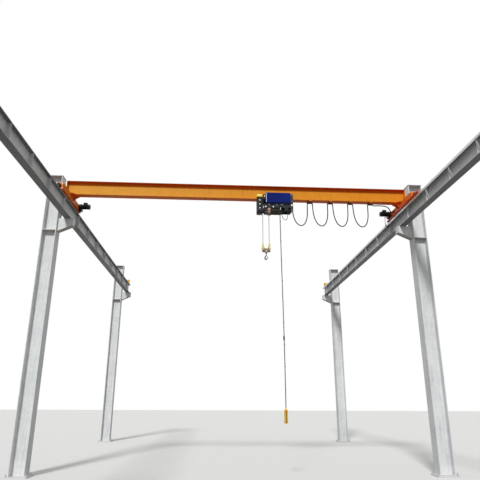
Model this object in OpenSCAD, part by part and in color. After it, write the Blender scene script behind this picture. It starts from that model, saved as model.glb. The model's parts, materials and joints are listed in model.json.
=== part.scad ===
// Single-girder overhead bridge crane on its runway, with a low-headroom rope hoist.
// X runs across the hall along the girder, Y along the runway, Z up from the floor.

/* [Runway] */
// Distance between the two crane rails, centre to centre
rail_span = 8620; // [7800:20:9600]
// Length of one bay, from column to column
bay = 9000; // [8000:100:9600]
// Number of bays of runway
bays = 2; // [2:1:4]
// Height of the rail head above the floor
rail_top = 6335; // [6000:5:6800]
// Width of the square-bar crane rail
rail_w = 50; // [40:2:56]
// Height of the crane rail
rail_h = 40; // [30:2:50]
// Depth of the runway beam
beam_h = 350; // [300:10:400]
// Flange width of the runway beam
beam_w = 175; // [150:5:200]
// Distance between web stiffeners on the runway beam
stiffener_pitch = 1125; // [900:25:1500]
// Length of runway beam beyond the outer column lines
beam_overhang = 150; // [100:10:200]

/* [Columns] */
// Depth of a column across the hall
column_d = 350; // [300:10:400]
// Width of a column along the runway
column_w = 300; // [260:10:340]
// Height of the column tops above the rail head
column_rise = 765; // [700:5:1200]
// From the rail centre to the inner face of the columns
column_gap = 235; // [220:5:300]
// Thickness of the base plates
base_t = 25; // [16:1:40]
// Length of a base plate across the hall
base_x = 500; // [480:10:560]
// Length of a base plate along the runway
base_y = 420; // [400:10:480]
// Distance between anchor bolt holes across the hall
anchor_x = 420; // [400:5:440]
// Distance between anchor bolt holes along the runway
anchor_y = 340; // [320:5:360]
// Radius of the anchor bolt holes
anchor_r = 15; // [10:0.5:18]
// Depth of a corbel where it meets its column
corbel_root = 330; // [260:10:400]
// Depth of a corbel at its tip
corbel_tip = 160; // [120:10:200]

/* [Girder] */
// Depth of the girder
girder_h = 365; // [340:5:420]
// Flange width of the girder
girder_w = 200; // [180:5:220]
// Web thickness of the girder
girder_web = 8; // [6:1:12]
// Flange thickness of the girder
girder_flange = 13; // [10:1:18]
// Length of the girder past each rail centre
girder_past = 60; // [40:5:90]
// Thickness of the saddle plates between girder and end carriages
saddle_t = 15; // [10:1:25]

/* [End carriages] */
// Length of an end carriage past each of its wheel axles
carriage_past = 170; // [150:5:220]
// Width of an end carriage box
carriage_w = 180; // [160:5:200]
// Height of an end carriage box
carriage_h = 160; // [150:5:190]
// Distance between the two wheels of a carriage
wheelbase = 1300; // [1200:20:1360]
// Tread radius of the travel wheels
wheel_r = 80; // [75:1:85]
// Projection of the rubber buffers
buffer_l = 80; // [60:5:100]
// Distance of the crane from the nearest column line when parked
park_offset = 170; // [100:10:400]

/* [Hoist] */
// Place of the hoist trolley along the girder when parked
hoist_x = 910; // [600:5:1000]
// Tread radius of the trolley wheels
trolley_wheel_r = 45; // [40:1:50]
// Radius of the rope drum over the rope
drum_r = 105; // [95:1:112]
// Length of the rope drum
drum_l = 380; // [340:5:390]
// Width of the control cabinet
cabinet_w = 620; // [560:10:624]
// Height of the control cabinet
cabinet_h = 280; // [240:5:300]
// Diameter of the wire rope
rope_d = 8; // [6:0.5:9]

/* [Hook block] */
// Height of the block's sheave axle above the floor when parked
block_z = 5220; // [4800:10:5400]
// Pitch radius of the block sheaves
sheave_r = 62; // [58:1:66]
// Distance between the two block sheaves
sheave_gap = 160; // [150:2:170]
// Radius of the hook's centre line round the bowl
hook_r = 44; // [40:1:48]

/* [Festoon and pendant] */
// Place of the fixed cable clamp along the girder
clamp_x = 3455; // [3400:5:3500]
// Depth of the festoon loops below their saddles
loop_drop = 565; // [400:5:800]
// Diameter of the festoon cable
festoon_d = 26; // [16:1:28]
// Diameter of the pendant cable
pendant_cable_d = 16; // [12:1:18]

/* [Hidden] */

// Fits and seats
fit = 0.05;
seat = 0.3;
round_fn = 48;

// Runway
rail_x = rail_span / 2;
column_top = rail_top + column_rise;
runway_half = bays * bay / 2;
beam_end = runway_half + beam_overhang;
stop_y = beam_end - 200;
beam_top = rail_top - rail_h;
beam_bottom = beam_top - beam_h;
beam_web = 7;
beam_flange = 11;
splice_gap = 4;
column_web = 12;
column_flange = 16;
column_x = rail_x + column_gap + column_d / 2;
cap_t = 12;
corbel_l = column_gap + beam_w / 2 + 50;
corbel_w = 180;
plate_t = 14;

supply_x = rail_x - beam_w / 2 - 27;
supply_w = 26;
supply_h = 55;
supply_hanger = 12;
supply_z = beam_top - beam_flange - supply_hanger - supply_h;

// Crane
crane_y = bay - runway_half - park_offset;
carriage_l = wheelbase + 2 * carriage_past;
guard_past = 480;
axle_z = rail_top + wheel_r + seat;
axle_r = 20;
wheel_lip = 15;
tread_w = rail_w + 10;
carriage_wall = 8;
carriage_bottom = rail_top + 25;
carriage_top = carriage_bottom + carriage_h;
girder_bottom = carriage_top + saddle_t;
flange_top = girder_bottom + girder_flange;
girder_l = rail_span + 2 * girder_past;
girder_end_t = 12;

// Hoist trolley, measured from the girder's centre line
frame_top = girder_bottom - 25;
frame_s = 60;
frame_bottom = frame_top - frame_s;
frame_left = hoist_x - 305;
frame_right = hoist_x + 450;
frame_reach = 300;
trolley_axle_z = flange_top + trolley_wheel_r + seat;
trolley_axle_r = 14;
trolley_axles = [hoist_x - 235, hoist_x + 320];
side_plate_y = girder_w / 2 + 19;
side_plate_t = 12;
hook_x = hoist_x - 205;
travel_left = 4210;
rope_x = [hook_x - sheave_gap / 2, hook_x + sheave_gap / 2];
rope_y = sheave_r + seat;
rope_r = rope_d / 2 - 0.2;
drum_x = hoist_x - 240;
drum_y = -rope_y - rope_r - seat - drum_r;
drum_z = frame_bottom - 270;
drum_shaft_r = 30;
bearing_t = 12;
bearing_x = [drum_x - bearing_t - 13, drum_x + drum_l + 5];
guide_rod = [drum_y - 108, drum_z - 76];
guide_rod_r = 8;
upper_sheave_r = sheave_gap / 2;
upper_sheave_z = frame_bottom - 185;
upper_sheave_axle_r = 15;
anchor_z = frame_bottom - 230;
cabinet_x = hoist_x - 235;
cabinet_front = -360;
cabinet_back = -side_plate_y - side_plate_t - 17;
cabinet_z = frame_bottom - 120;
gland_h = 20;
gearbox_x = hoist_x - 455;
channel_t = 4;
end_channel = [cabinet_x + cabinet_w + 3, frame_right + 2];
end_channel_z = [drum_z - 122, cabinet_z + cabinet_h - 34];
front_plate_y = [-302, -294];
front_plate_z = [cabinet_z - 108, cabinet_z - 8];
tow_x = frame_right - frame_s / 2;

// Hook block
hook_z = block_z - 230;
crosshead_z = block_z - 70;
hook_turn = 130;
block_axle_r = 12;
shank_r = 12;
sheave_half = 10;

// Festoon
saddle_z = girder_bottom - 42;
tow_z = frame_bottom - 20;
loop_z = girder_bottom - 105 - loop_drop;
loop_lean = 22;
saddle_half = 40;
saddle_bend = 30;
saddle_plate = 4;
saddle_gap = 1.2;
festoon_step = (clamp_x - tow_x) / 4;
trolley_l = 70;
carrier_wheel_r = 11;

// Pendant cable, each point as the way across, the way back and the way down from its gland
pendant_x = hoist_x + 115;
gland_y = -330;
pendant_drops = [
    [0, 0, 0], [0, 0, 120], [0, -1, 320], [2, -3, 600], [4, -5, 920], [7, -7, 1260],
    [11, -9, 1620], [16, -10, 2000], [21, -10, 2380], [26, -9, 2760], [30, -8, 3140],
    [33, -6, 3520], [35, -4, 3880], [36, -2, 4220], [37, -1, 4540], [37, -1, 4860]
];
pendant_route = [for (p = pendant_drops) [pendant_x + p[0], gland_y + p[1], cabinet_z - gland_h - p[2]]];

// Lead from the cabinet to the terminal box of the hoist motor, points as above
motor_lead_d = 14;
motor_lead_x = hoist_x + 155;
motor_lead_drops = [
    [0, 0, 0], [0, 0, 100], [3, 2, 220], [20, 8, 330], [58, 17, 397],
    [102, 28, 416], [141, 38, 385], [165, 52, 290], [165, 52, 170]
];
motor_lead_route = [for (p = motor_lead_drops)
    [motor_lead_x + p[0], gland_y + p[1], cabinet_z - gland_h - p[2]]];
motor_lead_end = motor_lead_route[len(motor_lead_route) - 1];
terminal_box = [[motor_lead_end[0] - 80, motor_lead_end[1] - 20, motor_lead_end[2]],
                [motor_lead_end[0] + 15, motor_lead_end[1] + 38, motor_lead_end[2] + 75]];

// Rolled I-section seen from its end, with root fillets
module i_section(h, w, web, flange) {
    root = web * 1.6;
    for (s = [0, 1])
        mirror([0, s, 0]) {
            translate([-w / 2, h / 2 - flange])
                square([w, flange]);
            for (m = [0, 1])
                mirror([m, 0, 0])
                    translate([web / 2 - 0.01, h / 2 - flange + 0.01])
                        mirror([0, 1, 0])
                            difference() {
                                square(root);
                                translate([root, root])
                                    circle(root, $fn = 24);
                            }
        }
    square([web, h - 2 * flange + 1], center = true);
}

// Bar along Y with the section given as its child
module along_y(from, to) {
    translate([0, to, 0])
        rotate([90, 0, 0])
            linear_extrude(to - from)
                children();
}

// Bar along X with the section given as its child, section x to Y and section y to Z
module along_x(from, to) {
    translate([from, 0, 0])
        rotate([90, 0, 90])
            linear_extrude(to - from)
                children();
}

// Flat plate in the XZ plane, thickness along +Y
module plate_xz(y, t) {
    translate([0, y + t, 0])
        rotate([90, 0, 0])
            linear_extrude(t)
                children();
}

module block(low, high) {
    translate(low)
        cube(high - low);
}

module rounded_rect(w, h, r) {
    square([w - 2 * r, h], center = true);
    square([w, h - 2 * r], center = true);
    for (x = [-1, 1], y = [-1, 1])
        translate([x * (w / 2 - r), y * (h / 2 - r)])
            circle(r, $fn = 24);
}

// Round bar along X
module bar_x(from, to, r) {
    translate([from, 0, 0])
        rotate([0, 90, 0])
            cylinder(h = to - from, r = r, $fn = round_fn);
}

// Round bar along Y
module bar_y(from, to, r) {
    translate([0, from, 0])
        rotate([-90, 0, 0])
            cylinder(h = to - from, r = r, $fn = round_fn);
}

// Columns with their base plates, corbels and beam ties
module column() {
    half_d = column_d / 2;
    tie_y = column_w / 2 - 30;
    difference() {
        union() {
            translate([0, 0, base_t])
                linear_extrude(column_top - base_t - cap_t)
                    rotate(90)
                        i_section(column_d, column_w, column_web, column_flange);
            block([-base_x / 2, -base_y / 2, 0], [base_x / 2, base_y / 2, base_t]);
            block([-half_d - 10, -column_w / 2 - 10, column_top - cap_t],
                  [half_d + 10, column_w / 2 + 10, column_top]);
            for (s = [-1, 1])
                block([-half_d + 1, s * column_w / 4 - column_w / 4 + 1, beam_bottom - corbel_root],
                      [half_d - 1, s * column_w / 4 + column_w / 4 - 1, beam_bottom - corbel_root + plate_t]);
        }
        for (x = [-1, 1], y = [-1, 1])
            translate([x * anchor_x / 2, y * anchor_y / 2, -1])
                cylinder(h = base_t + 2, r = anchor_r, $fn = round_fn);
    }
    // corbel: top plate, web, sloping bottom plate, tip plate
    translate([-half_d, 0, beam_bottom]) {
        block([-corbel_l, -corbel_w / 2, -plate_t], [1, corbel_w / 2, 0]);
        block([-corbel_l, -corbel_w / 2, -corbel_tip - plate_t / 2],
              [-corbel_l + plate_t, corbel_w / 2, -1]);
        plate_xz(-corbel_w / 2, corbel_w)
            polygon([[1, -corbel_root], [1, -corbel_root - plate_t],
                     [-corbel_l, -corbel_tip - plate_t], [-corbel_l, -corbel_tip]]);
        for (s = [-1, 0, 1])
            plate_xz(s * (corbel_w / 2 - plate_t / 2) - plate_t / 2, plate_t)
                polygon([[1, -1], [1, -corbel_root - plate_t / 2],
                         [plate_t / 2 - corbel_l, -corbel_tip - plate_t / 2],
                         [plate_t / 2 - corbel_l, -1]]);
    }
    // tie plates that hold the beam's top flange
    for (s = [-1, 1])
        block([-half_d - column_gap + beam_w / 2, s * tie_y - 30, beam_top - beam_flange],
              [-half_d + 1, s * tie_y + 30, beam_top]);
}

module columns(side) {
    color("gainsboro")
        for (i = [0 : bays])
            translate([side * column_x, i * bay - runway_half, 0])
                mirror([side < 0 ? 1 : 0, 0, 0])
                    column();
}
module columns_left() columns(-1);
module columns_right() columns(1);

// Runway beams, one length per bay, with web stiffeners
module runway_beams(side) {
    mid = beam_bottom + beam_h / 2;
    inner_h = beam_h - 2 * beam_flange + 1;
    color("lightslategray")
        for (i = [0 : bays - 1]) {
            from = i == 0 ? -beam_end : i * bay - runway_half + splice_gap / 2;
            to = i == bays - 1 ? beam_end : (i + 1) * bay - runway_half - splice_gap / 2;
            count = floor((to - from - 200) / stiffener_pitch);
            first = (from + to - count * stiffener_pitch) / 2;
            translate([side * rail_x, 0, mid]) {
                along_y(from, to)
                    i_section(beam_h, beam_w, beam_web, beam_flange);
                for (k = [0 : count])
                    block([-beam_w / 2 + 8, first + k * stiffener_pitch - 5, -inner_h / 2],
                          [beam_w / 2 - 8, first + k * stiffener_pitch + 5, inner_h / 2]);
            }
        }
}
module runway_beams_left() runway_beams(-1);
module runway_beams_right() runway_beams(1);

module rail(side) {
    color("dimgray")
        translate([side * rail_x, 0, 0])
            along_y(-stop_y, stop_y)
                polygon([[-rail_w / 2, beam_top], [rail_w / 2, beam_top], [rail_w / 2, rail_top - 5],
                         [rail_w / 2 - 5, rail_top], [5 - rail_w / 2, rail_top],
                         [-rail_w / 2, rail_top - 5]]);
}
module rail_left() rail(-1);
module rail_right() rail(1);

// Conductor rail along the inner side of the right runway beam, on hangers under its flange
module supply_rail() {
    slot_w = 10;
    from = -stop_y + 40;
    pitch = (2 * stop_y - 80) / (4 * bays);
    color("silver") {
        translate([supply_x, 0, supply_z])
            along_y(-stop_y, stop_y)
                difference() {
                    translate([-supply_w / 2, 0])
                        square([supply_w, supply_h]);
                    translate([-slot_w / 2, -1])
                        square([slot_w, supply_h - 8]);
                }
        for (i = [0 : 4 * bays])
            translate([0, from + i * pitch, supply_z + supply_h])
                block([supply_x - supply_w / 2, -20, 0], [rail_x - beam_w / 2 + 40, 20, supply_hanger]);
    }
}

// Four stops on the beam ends that the buffers run against
module end_stops() {
    color("goldenrod")
        for (x = [-1, 1], y = [0, 1])
            mirror([0, y, 0])
                translate([x * rail_x, stop_y, beam_top]) {
                    block([-70, seat, 0], [70, 15, 200]);
                    for (s = [-1, 1])
                        translate([s * 40 - 5, 0, 0])
                            rotate([90, 0, 90])
                                linear_extrude(10)
                                    polygon([[14, 0], [180, 0], [180, 20], [30, 190], [14, 190]]);
                    block([-70, 14, 0], [70, 185, 12]);
                }
}

module crane() translate([0, crane_y, 0]) children();

// Girder with end plates and small corner brackets over the end carriages
module girder() {
    mid = girder_bottom + girder_h / 2;
    color("darkorange")
        crane() {
            translate([0, 0, mid])
                along_x(-girder_l / 2, girder_l / 2)
                    i_section(girder_h, girder_w, girder_web, girder_flange);
            for (s = [-1, 1]) {
                translate([s * (girder_l / 2 + girder_end_t / 2), 0, mid])
                    cube([girder_end_t + 1, girder_w, girder_h], center = true);
                for (side = [0, 1])
                    mirror([0, side, 0])
                        translate([s * (rail_x - carriage_w / 2) - 5, 0, flange_top - 1])
                            rotate([90, 0, 90])
                                linear_extrude(10)
                                    polygon([[girder_web / 2 - 1, 0], [girder_w / 2 - 5, 0],
                                             [girder_w / 2 - 5, 15], [girder_web / 2 - 1, 90]]);
            }
        }
}

// Blocks on the lower flange that stop the trolley wheels
module girder_stops() {
    stop_t = 30;
    left = trolley_axles[0] - travel_left - trolley_wheel_r - 20;
    color("dimgray")
        crane()
            for (x = [left - stop_t, clamp_x - 100], y = [-1, 1])
                translate([x, y * (girder_w / 4 + 8) - 32, flange_top])
                    cube([stop_t, 64, 60]);
}

// Plates between girder and carriages, with gussets against the carriage side
module saddle_plates() {
    inner = rail_x - carriage_w / 2;
    outer = rail_x + carriage_w / 2;
    wide = 210;
    color("darkorange")
        crane()
            for (side = [0, 1])
                mirror([side, 0, 0]) {
                    translate([0, 0, carriage_top])
                        linear_extrude(saddle_t)
                            polygon([[outer, -wide], [outer, wide], [inner, wide],
                                     [inner - 140, girder_w / 2], [inner - 140, -girder_w / 2],
                                     [inner, -wide]]);
                    for (y = [-75, 65])
                        plate_xz(y, 10)
                            polygon([[inner, carriage_top + 1], [inner, carriage_top - 110],
                                     [inner - 15, carriage_top - 110], [inner - 120, carriage_top + 1]]);
                }
}

// Welded box with the wheel axles in it, open below the wheels
module carriage(side) {
    half_w = carriage_w / 2;
    half_l = carriage_l / 2;
    color("orange")
        crane()
            translate([side * rail_x, 0, 0]) {
                difference() {
                    block([-half_w, -half_l, carriage_bottom], [half_w, half_l, carriage_top]);
                    block([-half_w + carriage_wall, -half_l + 10, carriage_bottom + carriage_wall],
                          [half_w - carriage_wall, half_l - 10, carriage_top - carriage_wall]);
                    for (y = [-1, 1])
                        block([-tread_w / 2 - wheel_lip - 12, y * wheelbase / 2 - wheel_r - 24,
                               carriage_bottom - 1],
                              [tread_w / 2 + wheel_lip + 12, y * wheelbase / 2 + wheel_r + 24,
                               carriage_bottom + carriage_wall + 1]);
                }
                for (y = [-1, 1])
                    translate([0, y * wheelbase / 2, axle_z]) {
                        bar_x(-half_w - 8, half_w + 8, axle_r);
                        for (s = [0, 1])
                            mirror([s, 0, 0]) {
                                bar_x(half_w - carriage_wall - 1, half_w + 6, 42);
                                bar_x(tread_w / 2 + wheel_lip + 5, half_w - carriage_wall + 1, 32);
                            }
                    }
            }
}
module carriage_left() carriage(-1);
module carriage_right() carriage(1);

// Gear case and motor that drive the rear wheel, axis across the hall
module travel_drive(side) {
    inner = rail_x - carriage_w / 2;
    case_t = 80;
    motor_z = axle_z + 70;
    motor_end = inner - case_t - 200;
    color([0.08, 0.08, 0.09])
        crane()
            mirror([side < 0 ? 1 : 0, 0, 0])
                translate([0, wheelbase / 2, 0]) {
                    difference() {
                        along_x(inner - case_t, inner)
                            translate([0, axle_z + 36])
                                rounded_rect(140, 210, 60);
                        translate([0, 0, axle_z])
                            bar_x(inner - 9, inner + 1, 42.5);
                    }
                    translate([0, 0, motor_z]) {
                        bar_x(motor_end + 40, inner - case_t + 1, 58);
                        bar_x(motor_end, motor_end + 46, 68);
                        for (a = [0 : 15 : 345])
                            rotate([a, 0, 0])
                                block([motor_end + 45, -2, 50], [inner - case_t - 20, 2, 66]);
                    }
                    block([motor_end + 70, -45, motor_z + 60], [inner - case_t - 30, 45, motor_z + 110]);
                }
}
module travel_drive_left() travel_drive(-1);
module travel_drive_right() travel_drive(1);

// Rubber buffers on the carriage ends
module buffers() {
    color([0.1, 0.1, 0.1])
        crane()
            for (x = [-1, 1], y = [0, 1])
                mirror([0, y, 0])
                    translate([x * rail_x, carriage_l / 2, carriage_bottom + carriage_h / 2])
                        rotate([-90, 0, 0])
                            rotate_extrude($fn = round_fn)
                                polygon([[0, 0], [50, 0], [50, 10], [38, 14], [36, 26], [44, 34],
                                         [46, buffer_l - 14], [38, buffer_l - 3], [26, buffer_l],
                                         [0, buffer_l]]);
}

// Red bar along the lower inner edge of the right carriage, well past its front end
module red_guard_bar() {
    inner = rail_x - carriage_w / 2;
    bar_z = carriage_bottom - 70;
    bar_w = 40;
    bar_h = 50;
    color([0.75, 0.12, 0.12])
        crane() {
            translate([inner - 35, 0, bar_z + bar_h / 2])
                along_y(-carriage_l / 2 - guard_past, carriage_l / 2 - 40)
                    rounded_rect(bar_w, bar_h, 8);
            for (y = [-wheelbase / 2 + 130, 0, wheelbase / 2 - 130])
                block([inner - 16, y - 30, bar_z + 8], [inner, y + 30, bar_z + 120]);
        }
}

// Arm at the far end of the right carriage with the shoe that runs under the supply rail
module current_collector() {
    arm_w = 40;
    arm_t = 6;
    leg_x = carriage_side - 105;
    arm_z = carriage_bottom + 90;
    shoe_top = supply_z - 6;
    shoe_h = 25;
    color("silver")
        crane()
            translate([0, carriage_l / 2 - arm_w - arm_t, 0]) {
                block([leg_x, 0, arm_z], [carriage_side, arm_w, arm_z + arm_t]);
                block([carriage_side - arm_t, 0, arm_z - 40], [carriage_side, arm_w, arm_z + 1]);
                block([leg_x, 0, shoe_top - shoe_h], [leg_x + arm_t, arm_w, arm_z + 1]);
                block([leg_x + arm_t - 1, 10, shoe_top - shoe_h],
                      [supply_x - 20, arm_w - 10, shoe_top - shoe_h + 10]);
                block([supply_x - 21, -25, shoe_top - shoe_h], [supply_x + 21, arm_w + 25, shoe_top]);
            }
}

// Fixed clamp for the end of the festoon cable
module festoon_clamp() {
    color([0.15, 0.15, 0.16])
        crane()
            festoon_carrier(clamp_x);
}

// Plates that hug the lower flange at x with a cable saddle below them
module festoon_carrier(x) {
    gap = girder_w / 2 + 8;
    plate = 6;
    half = trolley_l / 2;
    cross_z = girder_bottom - 18;
    top_z = flange_top + carrier_wheel_r + 14;
    translate([x, 0, 0]) {
        for (s = [0, 1])
            mirror([0, s, 0]) {
                plate_xz(gap, plate)
                    polygon([[-half, cross_z - 6], [half, cross_z - 6], [half, top_z - 12],
                             [half - 12, top_z], [12 - half, top_z], [-half, top_z - 12]]);
                for (w = [-1, 1])
                    translate([w * (half - carrier_wheel_r - 3), 0, flange_top + carrier_wheel_r + seat]) {
                        bar_y(gap - 30, gap + 1, carrier_wheel_r);
                        bar_y(gap + plate - 1, gap + plate + 4, 6);
                    }
            }
        block([-half, -gap - plate, cross_z - 6], [half, gap + plate, cross_z]);
        cable_saddle(saddle_z, cross_z - 1);
    }
}

// Bent plate under the festoon cable, hung between two straps that reach up to top_z
module cable_saddle(z, top_z) {
    strap_y = festoon_d / 2 + 4;
    outer = saddle_bend - festoon_d / 2 - saddle_gap;
    for (y = [-strap_y - 6, strap_y])
        block([-saddle_half + 8, y, z - saddle_bend + outer - saddle_plate], [saddle_half - 8, y + 6, top_z]);
    translate([0, 0, z - saddle_bend])
        plate_xz(-strap_y - 6, 2 * strap_y + 12)
            polygon(concat(saddle_edge_points(outer, 1), saddle_edge_points(outer - saddle_plate, -1)));
}
// one face of the bent plate, from left to right for turn = 1 and back for turn = -1
function saddle_edge_points(r, turn) =
    concat([for (a = [-66, -44, -22, 0]) [turn * (r * sin(a) - saddle_half), r * cos(a)]],
           [for (a = [0, 22, 44, 66]) [turn * (r * sin(a) + saddle_half), r * cos(a)]]);

// Travel wheel with two lips, turning on the carriage axle
module travel_wheel(side, end) {
    lip_r = wheel_r + wheel_lip;
    half_t = tread_w / 2;
    color("gray")
        crane()
            translate([side * rail_x, end * wheelbase / 2, axle_z])
                rotate([0, 90, 0])
                    rotate_extrude($fn = 96)
                        polygon([[axle_r + fit, -half_t - wheel_lip - 3], [36, -half_t - wheel_lip - 3],
                                 [36, -half_t - 6], [wheel_r - 16, -half_t - 6],
                                 [wheel_r - 14, -half_t - wheel_lip], [lip_r - 3, -half_t - wheel_lip],
                                 [lip_r, -half_t - wheel_lip + 4], [lip_r - 3, -half_t - 4],
                                 [wheel_r, -half_t], [wheel_r, half_t], [lip_r - 3, half_t + 4],
                                 [lip_r, half_t + wheel_lip - 4], [lip_r - 3, half_t + wheel_lip],
                                 [wheel_r - 14, half_t + wheel_lip], [wheel_r - 16, half_t + 6],
                                 [36, half_t + 6], [36, half_t + wheel_lip + 3],
                                 [axle_r + fit, half_t + wheel_lip + 3]]);
}
module wheel_left_front() travel_wheel(-1, -1);
module wheel_left_rear() travel_wheel(-1, 1);
module wheel_right_front() travel_wheel(1, -1);
module wheel_right_rear() travel_wheel(1, 1);

// Welded frame under the girder that joins both sides of the trolley and tows the festoon
module trolley_frame() {
    color([0.16, 0.17, 0.2])
        crane() {
            for (x = [frame_left, frame_right - frame_s])
                block([x, -frame_reach, frame_bottom], [x + frame_s, frame_reach, frame_top]);
            for (y = [-135, 32])
                block([frame_left + 1, y, frame_bottom], [frame_right - 1, y + frame_s, frame_top]);
            block([hoist_x - 30, 91, frame_bottom], [hoist_x + 30, frame_reach, frame_top]);
            for (x = [hoist_x - 165, hoist_x + 255])
                block([x, cabinet_back, frame_bottom + 5], [x + frame_s, -134, frame_top - 5]);
            // channel that closes the right-hand end of the hoist
            difference() {
                block([end_channel[0], cabinet_front, end_channel_z[0]],
                      [end_channel[1], 1 - frame_reach, end_channel_z[1]]);
                block([end_channel[0] + channel_t, cabinet_front + channel_t, end_channel_z[0] - 1],
                      [end_channel[1] - channel_t, 2 - frame_reach, end_channel_z[1] + 1]);
            }
            // first saddle of the festoon
            translate([tow_x, 0, 0])
                cable_saddle(tow_z, frame_bottom + 1);
            // anchor for the dead end of the rope
            block([rope_x[0] - 8, -rope_y - 12, anchor_z + 20],
                  [rope_x[0] + 8, -rope_y + 12, frame_bottom + 1]);
            translate([rope_x[0], -rope_y, anchor_z])
                cylinder(h = 40, r = 11, $fn = round_fn);
        }
}

module trolley_side_plate(side) {
    left = frame_left - 5;
    right = frame_right + 10;
    y = side_plate_y;
    color([0.2, 0.22, 0.25])
        crane()
            mirror([0, side < 0 ? 1 : 0, 0]) {
                plate_xz(y, side_plate_t)
                    polygon([[left, frame_top], [right, frame_top], [right, trolley_axle_z + 20],
                             [right - 40, trolley_axle_z + 62], [left + 40, trolley_axle_z + 62],
                             [left, trolley_axle_z + 20]]);
                for (x = trolley_axles)
                    translate([x, 0, trolley_axle_z]) {
                        bar_y(y - 56, y + side_plate_t + 12, trolley_axle_r);
                        bar_y(y + side_plate_t - 1, y + side_plate_t + 8, 24);
                        bar_y(y - 5, y + 1, 22);
                    }
            }
}
module trolley_front_plate() trolley_side_plate(-1);
module trolley_rear_plate() trolley_side_plate(1);

// Plates that carry the drum and its motor, hung below the trolley frame
module bearing_plates() {
    neck = [drum_y - 110, -rope_y - 14];
    color([0.25, 0.26, 0.29])
        crane()
            for (x = bearing_x)
                difference() {
                    along_x(x, x + bearing_t)
                        difference() {
                            union() {
                                translate([drum_y, drum_z]) {
                                    circle(112, $fn = 64);
                                    rotate(180 + atan2(drum_z - guide_rod[1], drum_y - guide_rod[0]))
                                        translate([0, -18])
                                            square([norm([drum_y, drum_z] - guide_rod), 36]);
                                }
                                translate(guide_rod)
                                    circle(20, $fn = 32);
                                polygon([[neck[0], drum_z], [neck[1], drum_z], [neck[1], frame_bottom],
                                         [cabinet_back + 15, frame_bottom], [cabinet_back + 15, cabinet_z - 10],
                                         [neck[0], cabinet_z - 60]]);
                            }
                            translate([neck[1], drum_z - 200])
                                square([200, 400]);
                        }
                    translate([0, drum_y, drum_z])
                        bar_x(x - 1, x + bearing_t + 1, drum_shaft_r + fit);
                }
    // plate across the front of the drum and its motor, on a lug of each bearing plate
    color([0.25, 0.26, 0.29])
        crane() {
            block([bearing_x[0], front_plate_y[0], front_plate_z[0]],
                  [end_channel[0] - 1, front_plate_y[1], front_plate_z[1]]);
            for (x = bearing_x)
                block([x, front_plate_y[1] - 1, front_plate_z[0] + 8], [x + bearing_t, neck[0] + 1, cabinet_z - 62]);
        }
}

// Cast gear case on the left of the drum
module gearbox() {
    left = gearbox_x;
    right = left + 140;
    tall = frame_top + 5 - drum_z + 105;
    color([0.13, 0.14, 0.15])
        crane() {
            along_x(left, right)
                translate([drum_y - 8, drum_z - 105 + tall / 2])
                    rounded_rect(200, tall, 60);
            along_x(left + 60, left + 84)
                translate([drum_y - 8, drum_z - 105 + tall / 2])
                    rounded_rect(224, tall + 16, 66);
            translate([0, drum_y, drum_z]) {
                bar_x(right - 1, bearing_x[1] + bearing_t / 2, drum_shaft_r);
                bar_x(right - 1, bearing_x[0], 70);
            }
        }
}

// Yellow cap on top of the gear case, a folded sheet open below
module gearbox_cap() {
    half_l = 73;
    half_w = 65;
    tall = 72;
    wall = 6;
    color("gold")
        crane()
            translate([gearbox_x + 72, drum_y - 35, frame_top + 13 + seat])
                difference() {
                    plate_xz(-half_w, 2 * half_w)
                        polygon([[-half_l, 0], [half_l, 0], [half_l, tall - 24], [half_l - 24, tall],
                                 [24 - half_l, tall], [-half_l, tall - 24]]);
                    plate_xz(-half_w + wall, 2 * (half_w - wall))
                        polygon([[wall - half_l, -1], [half_l - wall, -1], [half_l - wall, tall - 27],
                                 [half_l - 27, tall - wall], [27 - half_l, tall - wall],
                                 [wall - half_l, tall - 27]]);
                }
}

// Hoist motor with cooling fins and fan cowl
module hoist_motor() {
    from = bearing_x[1] + bearing_t;
    to = frame_right - 52;
    color([0.07, 0.07, 0.08])
        crane()
            translate([0, drum_y, drum_z]) {
                bar_x(from, from + 14, 92);
                bar_x(from + 13, to - 58, 76);
                bar_x(to - 60, to, 90);
                bar_x(bearing_x[1] + bearing_t / 2, from + 1, drum_shaft_r);
                for (a = [0 : 12 : 348])
                    rotate([a, 0, 0])
                        block([from + 13, -2, 70], [to - 59, 2, 88]);
            }
        crane()
            block(terminal_box[0], terminal_box[1]);
}

// Control cabinet on the camera side of the trolley
module control_cabinet() {
    right = cabinet_x + cabinet_w;
    color([0.1, 0.16, 0.43])
        crane() {
            along_x(cabinet_x, right)
                translate([(cabinet_front + cabinet_back) / 2, cabinet_z + cabinet_h / 2])
                    rounded_rect(cabinet_back - cabinet_front, cabinet_h, 14);
            for (route = [pendant_route, motor_lead_route])
                translate([route[0][0], route[0][1], cabinet_z - gland_h])
                    cylinder(h = gland_h + 1, r = 15, $fn = round_fn);
            translate([0, festoon_route[0][1], festoon_route[0][2]])
                bar_x(right - 1, right + gland_h, 18);
        }
}

// Ring that lays the rope on the drum, open towards the falls, on a rod between the plates
module rope_guide() {
    from = rope_x[1] - 58;
    to = rope_x[1] + 28;
    color([0.55, 0.5, 0.48])
        crane() {
            difference() {
                union() {
                    translate([0, drum_y, drum_z])
                        bar_x(from, to, drum_r + 16);
                    translate([0, guide_rod[0], guide_rod[1]])
                        bar_x(from, to, guide_rod_r + 10);
                }
                translate([0, drum_y, drum_z])
                    bar_x(from - 1, to + 1, drum_r + 6);
                block([from - 1, -rope_y - 22, drum_z - 200], [to + 1, 0, drum_z + 200]);
                block([from - 1, drum_y, drum_z], [to + 1, 0, drum_z + 200]);
                block([from - 1, drum_y - 200, drum_z + 95], [to + 1, 0, drum_z + 200]);
            }
            translate([0, guide_rod[0], guide_rod[1]])
                bar_x(bearing_x[0] + bearing_t, bearing_x[1], guide_rod_r);
        }
}

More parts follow.
